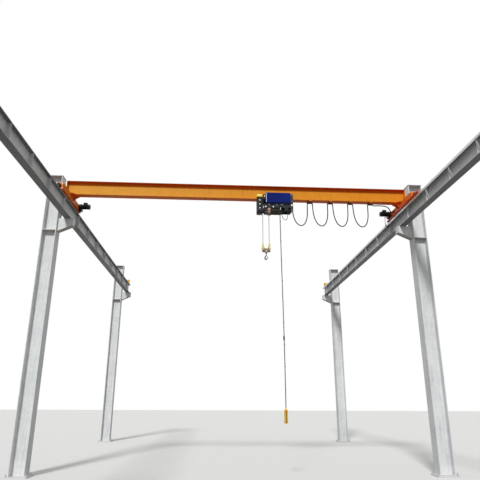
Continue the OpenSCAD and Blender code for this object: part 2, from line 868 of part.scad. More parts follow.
// Cheeks that hang the upper sheave under the rear frame bar
module upper_sheave_bracket() {
    color([0.2, 0.22, 0.25])
        crane()
            translate([hook_x, rope_y, 0]) {
                for (s = [0, 1])
                    mirror([0, s, 0])
                        plate_xz(sheave_half + 6, 8)
                            polygon([[-45, frame_bottom], [45, frame_bottom],
                                     [45, upper_sheave_z - 20], [20, upper_sheave_z - 40],
                                     [-20, upper_sheave_z - 40], [-45, upper_sheave_z - 20]]);
                translate([0, 0, upper_sheave_z])
                    bar_y(-32, 32, upper_sheave_axle_r);
            }
}

// Steel block behind the girder that balances the cabinet and drum
module counterweight() {
    color([0.2, 0.22, 0.25])
        crane()
            difference() {
                block([hoist_x - 60, 158, frame_top], [frame_right, frame_reach, frame_top + 105]);
                for (x = [hoist_x + 20, frame_right - 90])
                    block([x, 150, frame_top + 88], [x + 50, 320, frame_top + 120]);
            }
}

// Gearmotor on the rear plate that drives the trolley
module cross_travel_drive() {
    from = side_plate_y + side_plate_t;
    color([0.07, 0.07, 0.08])
        crane()
            translate([trolley_axles[0], 0, trolley_axle_z]) {
                difference() {
                    plate_xz(from, 60)
                        translate([0, 22])
                            rounded_rect(110, 150, 45);
                    bar_y(from - 1, from + 14, 25);
                }
                translate([0, 0, 44]) {
                    bar_y(from + 59, from + 190, 45);
                    bar_y(from + 189, from + 225, 52);
                    for (a = [0 : 15 : 345])
                        rotate([0, a, 0])
                            block([-2, from + 60, 40], [2, from + 190, 50]);
                }
            }
}

// Trolley wheel on the girder's lower flange, its lip outside the flange edge
module trolley_wheel(side, index) {
    y = side_plate_y;
    r = trolley_wheel_r;
    color("gray")
        crane()
            mirror([0, side < 0 ? 1 : 0, 0])
                translate([trolley_axles[index], y - 6, trolley_axle_z])
                    rotate([90, 0, 0])
                        rotate_extrude($fn = 72)
                            polygon([[trolley_axle_r + fit, 0], [r + 8, 0], [r + 10, 2], [r + 10, 6],
                                     [r + 7, 8], [r, 8], [r, 48], [r - 4, 50],
                                     [trolley_axle_r + fit, 50]]);
}
module trolley_wheel_front_left() trolley_wheel(-1, 0);
module trolley_wheel_front_right() trolley_wheel(-1, 1);
module trolley_wheel_rear_left() trolley_wheel(1, 0);
module trolley_wheel_rear_right() trolley_wheel(1, 1);

// Drum outline: end flanges and a groove for each turn of rope
module drum() {
    pitch = rope_d + 1;
    turns = floor((drum_l - 70) / pitch);
    start = (drum_l - turns * pitch) / 2;
    groove = [for (k = [0 : turns - 1], a = [180 : -45 : 0])
        [drum_r - rope_d / 2 + rope_d / 2 * sin(a), start + k * pitch + pitch / 2 + rope_d / 2 * cos(a)]];
    color([0.3, 0.28, 0.26])
        crane()
            translate([drum_x, drum_y, drum_z])
                rotate([0, 90, 0])
                    rotate_extrude($fn = 96)
                        polygon(concat([[drum_shaft_r + fit, 0], [drum_r + 3, 0], [drum_r + 3, 12],
                                        [drum_r - rope_d / 2, 14]],
                                       groove,
                                       [[drum_r - rope_d / 2, drum_l - 14], [drum_r + 3, drum_l - 12],
                                        [drum_r + 3, drum_l], [drum_shaft_r + fit, drum_l]]));
}

// Grooved sheave, axis along Z before it is turned, bore radius given
module sheave(pitch_r, bore) {
    rope = rope_d / 2;
    h = sheave_half;
    rotate_extrude($fn = 96)
        polygon([[bore, -h], [bore + 12, -h], [bore + 14, -4], [pitch_r - 12, -4], [pitch_r - 8, -h],
                 [pitch_r + 8, -h], [pitch_r + 8, -rope - 3], [pitch_r - 1, -rope - 0.5],
                 [pitch_r - rope - 0.6, 1.5 - rope], [pitch_r - rope - 0.6, rope - 1.5],
                 [pitch_r - 1, rope + 0.5], [pitch_r + 8, rope + 3], [pitch_r + 8, h],
                 [pitch_r - 8, h], [pitch_r - 12, 4], [bore + 14, 4], [bore + 12, h], [bore, h]]);
}

module upper_sheave() {
    color("slategray")
        crane()
            translate([hook_x, rope_y, upper_sheave_z])
                rotate([90, 0, 0])
                    sheave(upper_sheave_r, upper_sheave_axle_r + fit);
}

// Half turn of rope in the XZ plane, over the top of a sheave of pitch radius r
module bight(r) {
    rotate([90, 0, 0])
        rotate_extrude(angle = 180, $fn = 64)
            translate([r, 0])
                circle(rope_r, $fn = 16);
}

// Four falls of rope between the hoist and the hook block, and the bight on the upper sheave
module ropes() {
    // front falls end at the anchor and on the drum, rear falls on the upper sheave
    color("silver")
        crane() {
            for (fall = [[rope_x[0], -rope_y, anchor_z], [rope_x[0], rope_y, upper_sheave_z],
                         [rope_x[1], -rope_y, drum_z], [rope_x[1], rope_y, upper_sheave_z]])
                translate([fall[0], fall[1], block_z])
                    cylinder(h = fall[2] - block_z, r = rope_r, $fn = 16);
            translate([hook_x, rope_y, upper_sheave_z])
                bight(upper_sheave_r);
        }
}

// Bights of rope under the two sheaves of the hook block
module rope_bights() {
    color("silver")
        crane()
            for (x = rope_x)
                translate([x, 0, block_z])
                    rotate([180, 0, 90])
                        bight(rope_y);
}

// Axle, cheek plates and crosshead of the hook block
module block_frame() {
    reach = sheave_gap / 2 + 26;
    cheek_x = sheave_gap / 2 - 34;
    color([0.42, 0.33, 0.25])
        crane()
            translate([hook_x, 0, 0]) {
                translate([0, 0, block_z])
                    bar_x(-reach, reach, block_axle_r);
                for (s = [0, 1])
                    mirror([s, 0, 0])
                        along_x(cheek_x, cheek_x + 8)
                            translate([0, (block_z + crosshead_z) / 2])
                                rounded_rect(70, 140, 24);
                // tie plates in front of the crosshead and behind it
                for (y = [-34, 28])
                    block([-cheek_x - 1, y, crosshead_z + 24], [cheek_x + 1, y + 6, block_z - 14]);
                difference() {
                    union() {
                        block([-30, -28, crosshead_z - 23], [30, 28, crosshead_z + 23]);
                        translate([0, 0, crosshead_z])
                            bar_x(-cheek_x - 1, cheek_x + 1, 18);
                    }
                    translate([0, 0, crosshead_z - 30])
                        cylinder(h = 60, r = shank_r + fit, $fn = round_fn);
                }
            }
}

// Yellow guard round each sheave, open on top for the rope
module sheave_guards() {
    outer = sheave_r + 22;
    half_t = 19;
    wall = 4;
    color("gold")
        crane()
            translate([hook_x, 0, 0])
                for (s = [0, 1])
                    mirror([s, 0, 0])
                        translate([sheave_gap / 2, 0, block_z])
                            difference() {
                                along_x(-half_t, half_t) {
                                    circle(outer, $fn = 64);
                                    translate([-outer, 0])
                                        square([2 * outer, 108]);
                                }
                                along_x(-half_t + wall, half_t - wall) {
                                    circle(outer - wall, $fn = 64);
                                    translate([-outer + wall, 0])
                                        square([2 * (outer - wall), 120]);
                                }
                                bar_x(-half_t - 1, half_t + 1, block_axle_r + fit);
                                translate([0, 0, 118])
                                    bar_x(-half_t - 1, half_t + 1, 46);
                            }
}

module block_sheave(side) {
    color("slategray")
        crane()
            translate([hook_x + side * sheave_gap / 2, 0, block_z])
                rotate([0, 90, 0])
                    sheave(rope_y, block_axle_r + fit);
}
module block_sheave_left() block_sheave(-1);
module block_sheave_right() block_sheave(1);

// Centre line of the hook as [x, z], from the neck round the bowl to the point
hook_start = 62;
hook_end = -205;
function hook_neck(t) =
    let (p = [[0, 76], [0, 58], [hook_r * cos(hook_start) - 14, hook_r * sin(hook_start) + 8],
              [hook_r * cos(hook_start), hook_r * sin(hook_start)]])
    pow(1 - t, 3) * p[0] + 3 * t * pow(1 - t, 2) * p[1] + 3 * t * t * (1 - t) * p[2] + pow(t, 3) * p[3];
function hook_bowl(t) =
    let (a = hook_start + (hook_end - hook_start) * t, r = hook_r + 6 * pow(t, 3))
    [r * cos(a), r * sin(a)];
hook_path = concat([[0, 92]], [for (i = [0 : 4]) hook_neck(i / 5)], [for (i = [0 : 20]) hook_bowl(i / 20)]);
latch_pivot = [0, 64];
// Half-thickness in the plane of the hook and across it, thickest under the load
function hook_half(t) = 9 + 8 * pow(sin(180 * min(1, t * 1.1)), 1.2) - 3 * pow(t, 6);
function hook_side(t) = 8 + 5 * pow(sin(180 * min(1, t * 1.1)), 1.2) - 3 * pow(t, 6);

// Closed skin over rings of points that all have the same count
module skin(rings) {
    n = len(rings[0]);
    m = len(rings);
    polyhedron(
        points = [for (ring = rings) for (p = ring) p],
        faces = concat(
            [[for (i = [0 : n - 1]) i]],
            [for (j = [0 : m - 2], i = [0 : n - 1])
                [j * n + i, (j + 1) * n + i, (j + 1) * n + (i + 1) % n, j * n + (i + 1) % n]],
            [[for (i = [n - 1 : -1 : 0]) (m - 1) * n + i]]));
}

module hook() {
    n = len(hook_path);
    sides = 12;
    rings = [for (j = [0 : n - 1])
        let (t = j / (n - 1), a = hook_path[max(0, j - 1)], b = hook_path[min(n - 1, j + 1)],
             d = (b - a) / norm(b - a))
        [for (i = [0 : sides - 1])
            let (u = hook_half(t) * cos(360 * i / sides), v = hook_side(t) * sin(360 * i / sides))
            [hook_path[j][0] + u * d[1], v, hook_path[j][1] - u * d[0]]]];
    color([0.2, 0.2, 0.21])
        crane()
            translate([hook_x, 0, hook_z]) rotate([0, 0, hook_turn]) {
                difference() {
                    skin(rings);
                    translate([latch_pivot[0], 0, latch_pivot[1]])
                        bar_y(-20, 20, 3 + fit);
                }
                translate([0, 0, 88])
                    cylinder(h = crosshead_z - hook_z + 50 - 88, r = shank_r, $fn = round_fn);
                translate([0, 0, 90])
                    cylinder(h = crosshead_z - 23 - seat - hook_z - 90, r = 17, $fn = round_fn);
                translate([0, 0, crosshead_z - hook_z + 23 + seat])
                    cylinder(h = 22, r = 20, $fn = 6);
            }
}

// Sprung flap that closes the hook's throat, on a pin through the neck
module hook_latch() {
    pin = latch_pivot;
    ear = [[pin[0] - 6, pin[1] + 6], [pin[0] + 5, pin[1] + 6], [pin[0] + 7, pin[1] - 3],
           [pin[0] + 1, pin[1] - 10], [-32, 21], [-37, 24], [-12, 60]];
    color("silver")
        crane()
            translate([hook_x, 0, hook_z]) rotate([0, 0, hook_turn]) {
                for (y = [-1, 1])
                    plate_xz(y * 14 - 1.5, 3)
                        polygon(ear);
                plate_xz(-14, 28)
                    polygon([[-16.5, 54], [-13.5, 52], [-34, 22.5], [-37, 24]]);
                translate([pin[0], 0, pin[1]])
                    bar_y(-17, 17, 3);
            }
}

// Cable trolley that runs on the girder's lower flange
module festoon_trolley(index) {
    color([0.15, 0.15, 0.16])
        crane()
            festoon_carrier(tow_x + index * festoon_step);
}
module festoon_trolley_1() festoon_trolley(1);
module festoon_trolley_2() festoon_trolley(2);
module festoon_trolley_3() festoon_trolley(3);

// Rings of a round tube along a list of points
function tube_rings(path, r, sides) =
    let (n = len(path))
    [for (j = [0 : n - 1])
        let (a = path[max(0, j - 1)], b = path[min(n - 1, j + 1)], d = (b - a) / norm(b - a),
             e = abs(d[1]) > 0.9 ? [1, 0, 0] : [0, 1, 0],
             u = cross(d, e) / norm(cross(d, e)), v = cross(u, d))
        [for (i = [0 : sides - 1])
            path[j] + r * cos(360 * i / sides) * u + r * sin(360 * i / sides) * v]];

// Festoon cable from the cabinet over the first saddle, a hanging loop to each trolley, tail to the
// carriage
carriage_side = rail_x - carriage_w / 2;
saddle_edge = saddle_half + saddle_bend;
function over_saddle(x, z) =
    concat([for (a = [-60, -30, 0]) saddle_point(x - saddle_half, z, a)],
           [for (a = [0, 30, 60]) saddle_point(x + saddle_half, z, a)]);
function saddle_point(x, z, a) = [x + saddle_bend * sin(a), 0, z + saddle_bend * (cos(a) - 1)];
// a point of the loop at t from 0 to 1, deepest in the middle, leaning a little to the right
function loop_point(from, to, z, t) =
    [(from + to) / 2 - (to - from) / 2 * cos(180 * t) + loop_lean * sin(180 * t), 0,
     loop_z + (z - saddle_bend - loop_z) * (1 - pow(sin(180 * t), 0.7))];
// a point of the tail, at a share of the way from the clamp to the carriage
function tail_point(share, y, z) =
    [clamp_x + share * (carriage_side - clamp_x), y, tow_z + z];
festoon_gland = [cabinet_x + cabinet_w + gland_h, -250, cabinet_z + 40];
festoon_route = concat(
    [festoon_gland, festoon_gland + [16, 0, 0],
     [tow_x + 10, -205, cabinet_z + 22], [tow_x - 30, -125, cabinet_z + 22],
     [tow_x - 74, -58, cabinet_z + 46], [tow_x - 76, -12, tow_z - 30]],
    [for (k = [0 : 3]) each concat(
        over_saddle(tow_x + k * festoon_step, k == 0 ? tow_z : saddle_z),
        [for (i = [0 : 8])
            loop_point(tow_x + k * festoon_step + saddle_edge,
                       tow_x + (k + 1) * festoon_step - saddle_edge,
                       k == 0 && i < 4 ? tow_z : saddle_z, i / 8)])],
    over_saddle(clamp_x, saddle_z),
    [tail_point(0.15, 10, 30), tail_point(0.33, 40, 50), tail_point(0.57, 70, 46),
     tail_point(0.69, 100, 8), tail_point(0.77, 160, -40), tail_point(0.87, 250, -56),
     tail_point(0.94, 296, -14), tail_point(0.98, 300, 10), tail_point(1, 300, 10)]);

module festoon_cable() {
    color([0.08, 0.08, 0.08])
        crane()
            skin(tube_rings(festoon_route, festoon_d / 2, 8));
}

module pendant_cable() {
    color([0.08, 0.08, 0.08])
        crane()
            skin(tube_rings(pendant_route, pendant_cable_d / 2, 8));
}

module motor_lead() {
    color([0.08, 0.08, 0.08])
        crane()
            skin(tube_rings(motor_lead_route, motor_lead_d / 2, 8));
}

// Push-button pendant on the end of its cable
module pendant() {
    top = pendant_route[len(pendant_route) - 1];
    color("gold")
        crane()
            translate([top[0], top[1], top[2] - 330]) {
                linear_extrude(290)
                    rounded_rect(76, 62, 14);
                translate([0, 0, 289])
                    cylinder(h = 41, r1 = 24, r2 = 11, $fn = round_fn);
                for (i = [0 : 5])
                    translate([0, 0, 40 + 42 * i])
                        bar_y(-39, -20, 13);
            }
}

columns_left();
columns_right();
runway_beams_left();
runway_beams_right();
rail_left();
rail_right();
end_stops();
supply_rail();
girder();
girder_stops();
saddle_plates();
carriage_left();
carriage_right();
travel_drive_left();
travel_drive_right();
buffers();
red_guard_bar();
current_collector();
festoon_clamp();
wheel_left_front();
wheel_left_rear();
wheel_right_front();
wheel_right_rear();
trolley_frame();
trolley_front_plate();
trolley_rear_plate();
bearing_plates();
gearbox();
gearbox_cap();
hoist_motor();
control_cabinet();
rope_guide();
upper_sheave_bracket();
counterweight();
cross_travel_drive();
trolley_wheel_front_left();
trolley_wheel_front_right();
trolley_wheel_rear_left();
trolley_wheel_rear_right();
drum();
upper_sheave();
ropes();
rope_bights();
block_frame();
sheave_guards();
block_sheave_left();
block_sheave_right();
hook();
hook_latch();
festoon_trolley_1();
festoon_trolley_2();
festoon_trolley_3();
festoon_cable();
pendant_cable();
pendant();
motor_lead();
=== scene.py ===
# %% [markdown]
# # A single-girder bridge crane, dressed over its CAD frame
# The steelwork, the wheels, the hook and every joint come from the CAD model. This notebook gives
# them their finishes, and adds what a CAD model leaves plain: laid wire rope, hanging cables, bolts,
# weld seams, push buttons. One unit is one metre, +Z is up, and +Y runs along the runway.

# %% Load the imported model
import json
import math
import bpy
import numpy as np
from mathutils import Matrix, Vector

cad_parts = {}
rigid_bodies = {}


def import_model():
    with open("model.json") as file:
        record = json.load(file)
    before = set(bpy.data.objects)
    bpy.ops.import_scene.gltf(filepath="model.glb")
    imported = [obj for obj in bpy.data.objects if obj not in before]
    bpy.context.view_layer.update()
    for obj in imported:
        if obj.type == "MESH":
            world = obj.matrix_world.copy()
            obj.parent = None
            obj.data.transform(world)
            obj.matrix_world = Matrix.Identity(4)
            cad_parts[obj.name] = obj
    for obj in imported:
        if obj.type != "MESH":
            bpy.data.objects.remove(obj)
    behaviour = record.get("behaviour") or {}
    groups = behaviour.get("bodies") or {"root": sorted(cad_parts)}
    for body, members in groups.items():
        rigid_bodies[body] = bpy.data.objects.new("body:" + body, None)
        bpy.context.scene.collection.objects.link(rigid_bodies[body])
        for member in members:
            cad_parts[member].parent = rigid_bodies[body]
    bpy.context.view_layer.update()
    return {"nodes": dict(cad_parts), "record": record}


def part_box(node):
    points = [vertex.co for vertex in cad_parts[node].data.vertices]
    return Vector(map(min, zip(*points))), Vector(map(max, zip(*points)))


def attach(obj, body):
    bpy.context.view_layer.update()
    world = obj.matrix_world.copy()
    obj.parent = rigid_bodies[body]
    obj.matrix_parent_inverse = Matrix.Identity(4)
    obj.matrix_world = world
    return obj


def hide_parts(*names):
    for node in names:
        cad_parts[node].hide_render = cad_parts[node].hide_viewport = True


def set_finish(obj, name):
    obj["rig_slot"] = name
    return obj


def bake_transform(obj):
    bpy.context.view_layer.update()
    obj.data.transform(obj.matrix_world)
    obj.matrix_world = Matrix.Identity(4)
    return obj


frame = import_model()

# %% [markdown]
# ## Where things are
# A detail sits on the steel that carries it, so its place is read from the boxes of the CAD nodes
# wherever that is possible. The few values that no box gives are named here.

# %% Places read from the CAD nodes
def low(node):
    return np.array(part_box(node)[0])


def high(node):
    return np.array(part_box(node)[1])


def middle(node):
    return (low(node) + high(node)) / 2


crane_y = float(middle("girder")[1])
rail_x = float(middle("rail_right")[0])
beam_bottom = float(low("runway_beams_right")[2])
beam_top = float(high("runway_beams_right")[2])
frame_bottom = float(high("upper_sheave_bracket")[2])
cabinet_low, cabinet_high = low("control_cabinet"), high("control_cabinet")
drum_y, drum_z = float(middle("drum")[1]), float(middle("drum")[2])
block = middle("block_frame")
block_z = float(middle("block_sheave_left")[2])
fall_x = (float(middle("block_sheave_left")[0]), float(middle("block_sheave_right")[0]))
upper_sheave = middle("upper_sheave")
rope_y = float(upper_sheave[1]) - crane_y
rope_r = 0.0038
column_y = (-9.0, 0.0, 9.0)
column_gap, column_half_depth = 0.235, 0.175
column_x = rail_x + column_gap + column_half_depth
print("crane at y", round(crane_y, 3), "falls at x", [round(x, 3) for x in fall_x])

# %% [markdown]
# ## Camera
# A hall like this is photographed from eye height, with the camera tilted up. The place, the tilt
# and the lens come from a least-squares fit of the girder's edges, the carriages, the hook and the
# cable loops. The three rows below are the camera's right, down and forward directions.

# %% The camera
def placed(name, data):
    """A new object of the scene that shows this data."""
    thing = bpy.data.objects.new(name, data)
    bpy.context.scene.collection.objects.link(thing)
    return thing


right = Vector((0.998515, -0.054026, 0.004555))
down = Vector((0.021050, 0.308728, -0.950959))
forward = Vector((0.050051, 0.949641, 0.309382))
eye = (-0.567, -11.794, 1.652)
camera_data = bpy.data.cameras.new("view")
camera_data.sensor_width = 36.0
camera_data.lens = 36.405
camera_data.clip_start = 0.05
camera_data.clip_end = 300.0
camera = placed("view", camera_data)
turned_axes = Matrix((right, -down, -forward)).transposed()
camera.matrix_world = Matrix.Translation(eye) @ turned_axes.to_4x4()
bpy.context.scene.camera = camera
print("eye height", camera.location.z)

# %% [markdown]
# ## Surfaces from numpy
# Every new piece is a closed shell of points on a grid: one direction runs along the piece, the
# other round it. The faces only depend on the size of the grid, so one function makes them for all
# pieces. A shell that comes out inside out is found by its volume, which is then below zero.

# %% Grids, shells and meshes
def grid_faces(rows, columns, closed_rows=False):
    """Four corner numbers for each cell of a rows x columns grid of points, closed round its columns.

    Closed rows join the last ring of points to the first."""
    i, j = np.meshgrid(np.arange(rows if closed_rows else rows - 1), np.arange(columns), indexing="ij")
    i, j = i.ravel(), j.ravel()
    i2, j2 = (i + 1) % rows, (j + 1) % columns
    return np.stack([i * columns + j, i * columns + j2, i2 * columns + j2, i2 * columns + j], axis=1)


def shell(rings, closed_rows=False):
    """A closed skin over an array (rings, points, 3); the first and last ring get a flat cap."""
    rows, columns = rings.shape[:2]
    faces = grid_faces(rows, columns, closed_rows).tolist()
    if not closed_rows:
        faces.append(list(range(columns)))
        faces.append([(rows - 1) * columns + k for k in range(columns - 1, -1, -1)])
    return rings.reshape(-1, 3), faces


def volume(points, faces):
    """Each face is a fan of triangles: the sum of the volumes between them and the middle point."""
    total = 0.0
    centre = points.mean(axis=0)
    for size in {len(f) for f in faces}:
        group = np.array([f for f in faces if len(f) == size])
        p = points[group] - centre
        for k in range(1, size - 1):
            total += np.einsum("ij,ij->i", p[:, 0], np.cross(p[:, k], p[:, k + 1])).sum() / 6
    return total


def make(name, shells, slot, body=None, smooth=True):
    """One object from closed shells, each (points, faces), facing outwards, riding on body."""
    points, faces, start = [], [], 0
    for p, f in shells:
        if volume(p, f) < 0:
            f = [list(reversed(face)) for face in f]
        points.append(p)
        faces += [[k + start for k in face] for face in f]
        start += len(p)
    mesh = bpy.data.meshes.new(name)
    mesh.from_pydata(np.concatenate(points).tolist(), [], faces)
    mesh.validate()
    mesh.update()
    if smooth:
        mesh.shade_smooth()
        mesh.set_sharp_from_angle(angle=math.radians(35))
    piece = placed(name, mesh)
    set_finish(piece, slot)
    if body:
        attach(piece, body)
    print(name, len(mesh.vertices), "points", len(mesh.polygons), "faces")
    return piece

# %% [markdown]
# ## Tubes, cables and rope
# A cable is a circle carried along a path. The frame of each ring comes from the path's own
# direction and one fixed direction across it, so the whole tube is two array products.
# A smooth path needs more points than its route has: a Catmull-Rom curve passes through each of the
# route's points and leaves them in the direction of their neighbours.

# %% A path and a tube along it
def lengths(path):
    """Length along the path from its start to each of its points."""
    return np.concatenate([[0], np.cumsum(np.linalg.norm(np.diff(path, axis=0), axis=1))])


def smooth_path(route, step):
    """Points about step apart on the Catmull-Rom curve through the route."""
    p = np.asarray(route, float)
    p = np.vstack([2 * p[0] - p[1], p, 2 * p[-1] - p[-2]])
    a, b, c, d = p[:-3], p[1:-2], p[2:-1], p[3:]
    count = int(np.ceil(np.linalg.norm(c - b, axis=1).max() / step))
    t = (np.arange(count) / count)[None, :, None]
    a, b, c, d = (q[:, None, :] for q in (a, b, c, d))
    curve = 0.5 * (2 * b + (c - a) * t + (2 * a - 5 * b + 4 * c - d) * t**2
                   + (3 * b - a - 3 * c + d) * t**3)
    dense = np.vstack([curve.reshape(-1, 3), p[-2]])
    length = lengths(dense)
    even = np.linspace(0, length[-1], max(3, int(length[-1] / step)) + 1)
    return np.stack([np.interp(even, length, dense[:, k]) for k in range(3)], axis=1)


def path_length(path):
    """The whole length of a path."""
    return float(np.linalg.norm(np.diff(path, axis=0), axis=1).sum())


def ring_frames(path, across):
    """Unit vectors across the path at each point: u = direction x across, v = u x direction."""
    direction = np.gradient(path, axis=0)
    direction /= np.linalg.norm(direction, axis=1, keepdims=True)
    u = np.cross(direction, np.asarray(across, float))
    u /= np.linalg.norm(u, axis=1, keepdims=True)
    return u, np.cross(u, direction)


def swept(path, u, v, r, sides):
    """Ring at each point of the path: path + r (cos a u + sin a v), for equal steps of the angle a."""
    a = np.linspace(0, 2 * np.pi, sides, endpoint=False)[None, :, None]
    return path[:, None, :] + r * (np.cos(a) * u[:, None, :] + np.sin(a) * v[:, None, :])


def tube_rings(path, radius, sides=16, across=(0, 1, 0)):
    """A circle of this radius swept along the path."""
    return swept(path, *ring_frames(path, across), radius, sides)


def tube(path, radius, sides=16, across=(0, 1, 0)):
    """The swept circle as a closed shell."""
    return shell(tube_rings(path, radius, sides, across))


corner = smooth_path([[0, 0, 0], [1, 0, 0], [1, 1, 0]], 0.01)
print("a smooth path over a corner of 1 m and 1 m is", round(path_length(corner), 3), "m long")

# %% [markdown]
# ## The pendant cable
# The push-button pendant hangs on its own cable from a gland under the cabinet. The route below
# repeats the points of the CAD source, as offsets across, back and down from the gland, in metres.
# A thin strain wire beside the cable carries the weight, tied on every half metre.

# %% The pendant cable
gland_y = crane_y - 0.330
gland = np.array([1.025, gland_y, cabinet_low[2]])
pendant_drops = np.array([
    [0, 0, 0], [0, 0, 120], [0, -1, 320], [2, -3, 600], [4, -5, 920], [7, -7, 1260],
    [11, -9, 1620], [16, -10, 2000], [21, -10, 2380], [26, -9, 2760], [30, -8, 3140],
    [33, -6, 3520], [35, -4, 3880], [36, -2, 4220], [37, -1, 4540], [37, -1, 4860]]) / 1000
pendant_path = smooth_path(gland + pendant_drops * (1, 1, -1), 0.02)
pendant_cable = make("pendant_lead", [tube(pendant_path, 0.008, 12)], "cable_black", "hoist")
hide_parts("pendant_cable")
print("pendant cable", round(path_length(pendant_path), 3), "m")

# %% [markdown]
# ## The motor lead
# A short lead loops from the cabinet down and up again into the terminal box of the hoist motor.

# %% The motor lead
motor_gland = np.array([1.065, gland_y, cabinet_low[2]])
motor_drops = np.array([
    [0, 0, 0], [0, 0, 100], [3, 2, 220], [20, 8, 330], [58, 17, 397],
    [102, 28, 416], [141, 38, 385], [165, 52, 290], [165, 52, 170]]) / 1000
motor_path = smooth_path(motor_gland + motor_drops * (1, 1, -1), 0.01)
motor_lead = make("motor_cable", [tube(motor_path, 0.007, 12)], "cable_black", "hoist")
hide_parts("motor_lead")
print("motor lead", round(path_length(motor_path), 3), "m")

# %% [markdown]
# ## The festoon cable
# The supply of the hoist hangs from cable trolleys in even loops. Each loop starts and ends at the
# edge of a saddle, and its depth follows a power of a sine, which gives steep sides and a round
# bottom. The cable is clamped on every saddle, so it is split there: what lies on a saddle rides
# with its trolley, and each loop between two saddles is a piece of its own, on no body.

# %% The shapes of the cable
clamp_x, tow_x = 3.455, 1.330
girder_bottom = float(high("saddle_plates")[2])
saddle_z, tow_z = girder_bottom - 0.042, girder_bottom - 0.105
loop_z = tow_z - 0.565
saddle_half, saddle_bend, loop_lean = 0.040, 0.030, 0.022
loop_pitch = (clamp_x - tow_x) / 4
saddle_x = [tow_x + k * loop_pitch for k in range(5)]
rest_z = [tow_z] + [saddle_z] * 4
print("loops every", round(loop_pitch, 3), "m")


def over_saddle(x, z):
    """Sixty degrees of turn over each round end of a saddle, with a flat between them."""
    a = np.radians([-60, -30, 0, 0, 30, 60])
    side = np.array([-1, -1, -1, 1, 1, 1]) * saddle_half
    return np.stack([x + side + saddle_bend * np.sin(a), 0 * a, z + saddle_bend * (np.cos(a) - 1)], axis=1)


def loop(start, end, z_start, points=25):
    """x swings from start to end as a cosine and leans a little; z drops as the sine to the power 0.7."""
    t = np.linspace(0, 1, points)[1:-1]
    x = (start + end) / 2 - (end - start) / 2 * np.cos(np.pi * t) + loop_lean * np.sin(np.pi * t)
    edge = np.where(t < 0.5, z_start, saddle_z) - saddle_bend
    z = loop_z + (edge - loop_z) * (1 - np.sin(np.pi * t) ** 0.7)
    return np.stack([x, 0 * t, z], axis=1)

# %% [markdown]
# ## One path from the hoist to the carriage
# The cable leaves the hoist's right end and turns up to its tow arm. It lies over four saddles and
# the clamp, and its tail runs on to the end carriage. The path is made whole first, so that its
# parts meet, and is then cut at the saddles.

# %% The path of the festoon cable
lead_z = float(cabinet_low[2]) + 0.020
stretch = [np.array([
    [1.315, -0.250, lead_z + 0.040], [1.331, -0.250, lead_z + 0.040],
    [tow_x + 0.010, -0.205, lead_z + 0.022], [tow_x - 0.030, -0.125, lead_z + 0.022],
    [tow_x - 0.074, -0.058, lead_z + 0.046], [tow_x - 0.076, -0.012, tow_z - 0.030]])]
for here, z in zip(saddle_x[:4], rest_z):
    stretch.append(over_saddle(here, z))
    stretch.append(loop(here + saddle_half + saddle_bend, here + loop_pitch - saddle_half - saddle_bend, z))
stretch.append(over_saddle(clamp_x, saddle_z))
tail_length = rail_x - 0.090 - clamp_x
share, tail_y, tail_drop = np.array([
    [0.15, 0.010, 0.030], [0.33, 0.040, 0.050], [0.57, 0.070, 0.046], [0.69, 0.100, 0.008],
    [0.77, 0.160, -0.040], [0.87, 0.250, -0.056], [0.94, 0.296, -0.014], [0.98, 0.300, 0.010],
    [1.0, 0.300, 0.010]]).T
stretch.append(np.stack([clamp_x + share * tail_length, tail_y, tow_z + tail_drop], axis=1))
festoon_path = smooth_path(np.vstack(stretch) + (0, crane_y, 0), 0.012)
wide_edge = saddle_half + saddle_bend * math.sin(math.radians(60))
edge_of = [wide_edge, saddle_half, saddle_half, saddle_half, wide_edge]


def cut(k, side):
    """Number of the path's point over the left (-1) or right (1) edge of what lies still on saddle k."""
    z = rest_z[k] - (saddle_bend / 2 if k in (0, 4) else 0)
    place = np.array([saddle_x[k] + side * edge_of[k], crane_y, z])
    return int(np.linalg.norm(festoon_path - place, axis=1).argmin())


first = [cut(k, -1) for k in range(5)]
last = [cut(k, 1) for k in range(5)]
print("festoon cable", round(path_length(festoon_path), 3), "m")

# %% [markdown]
# ## Loops that keep their thickness
# The hoist can pull a loop to four times its width. A tube would be drawn out with it, so a loop is
# only a thin thread of faces, and a Displace modifier gives it its thickness afterwards, at every
# place of the hoist.

# %% The cable in its pieces
def free_cable():
    """Hides the CAD node of the festoon cable."""
    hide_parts("festoon_cable")


festoon_r, thread_r = 0.013, 0.001
rings = tube_rings(festoon_path, festoon_r, 12)
thread = tube_rings(festoon_path, thread_r, 12)
lead_in = make("festoon_lead_in", [shell(rings[:last[0] + 1])], "cable_black", "hoist")
free_cable()
for k in (1, 2, 3):
    lying = shell(rings[first[k]:last[k] + 1])
    make(f"festoon_over_saddle_{k}", [lying], "cable_black", f"festoon_trolley_{k}")
festoon_tail = make("festoon_tail", [shell(rings[first[4]:])], "cable_black", "bridge")
free_cable()
for k in range(4):
    start, end = last[k] - 1, first[k + 1] + 2
    piece = make(f"festoon_loop_{k + 1}", [shell(thread[start:end])], "cable_black")
    thickness = piece.modifiers.new("cable_thickness", "DISPLACE")
    thickness.strength, thickness.mid_level = festoon_r - thread_r, 0.0
    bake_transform(piece)
    free_cable()

# %% [markdown]
# ## Wire rope
# A hoist rope is laid from six strands round a core. Its section is a circle with six lobes, and the
# section turns as it goes along, one full turn in each lay of about six and a half diameters.
# The four falls hang between hoist and hook block.

# %% Laid rope
rope_lay, rope_step = 0.052, 0.0045


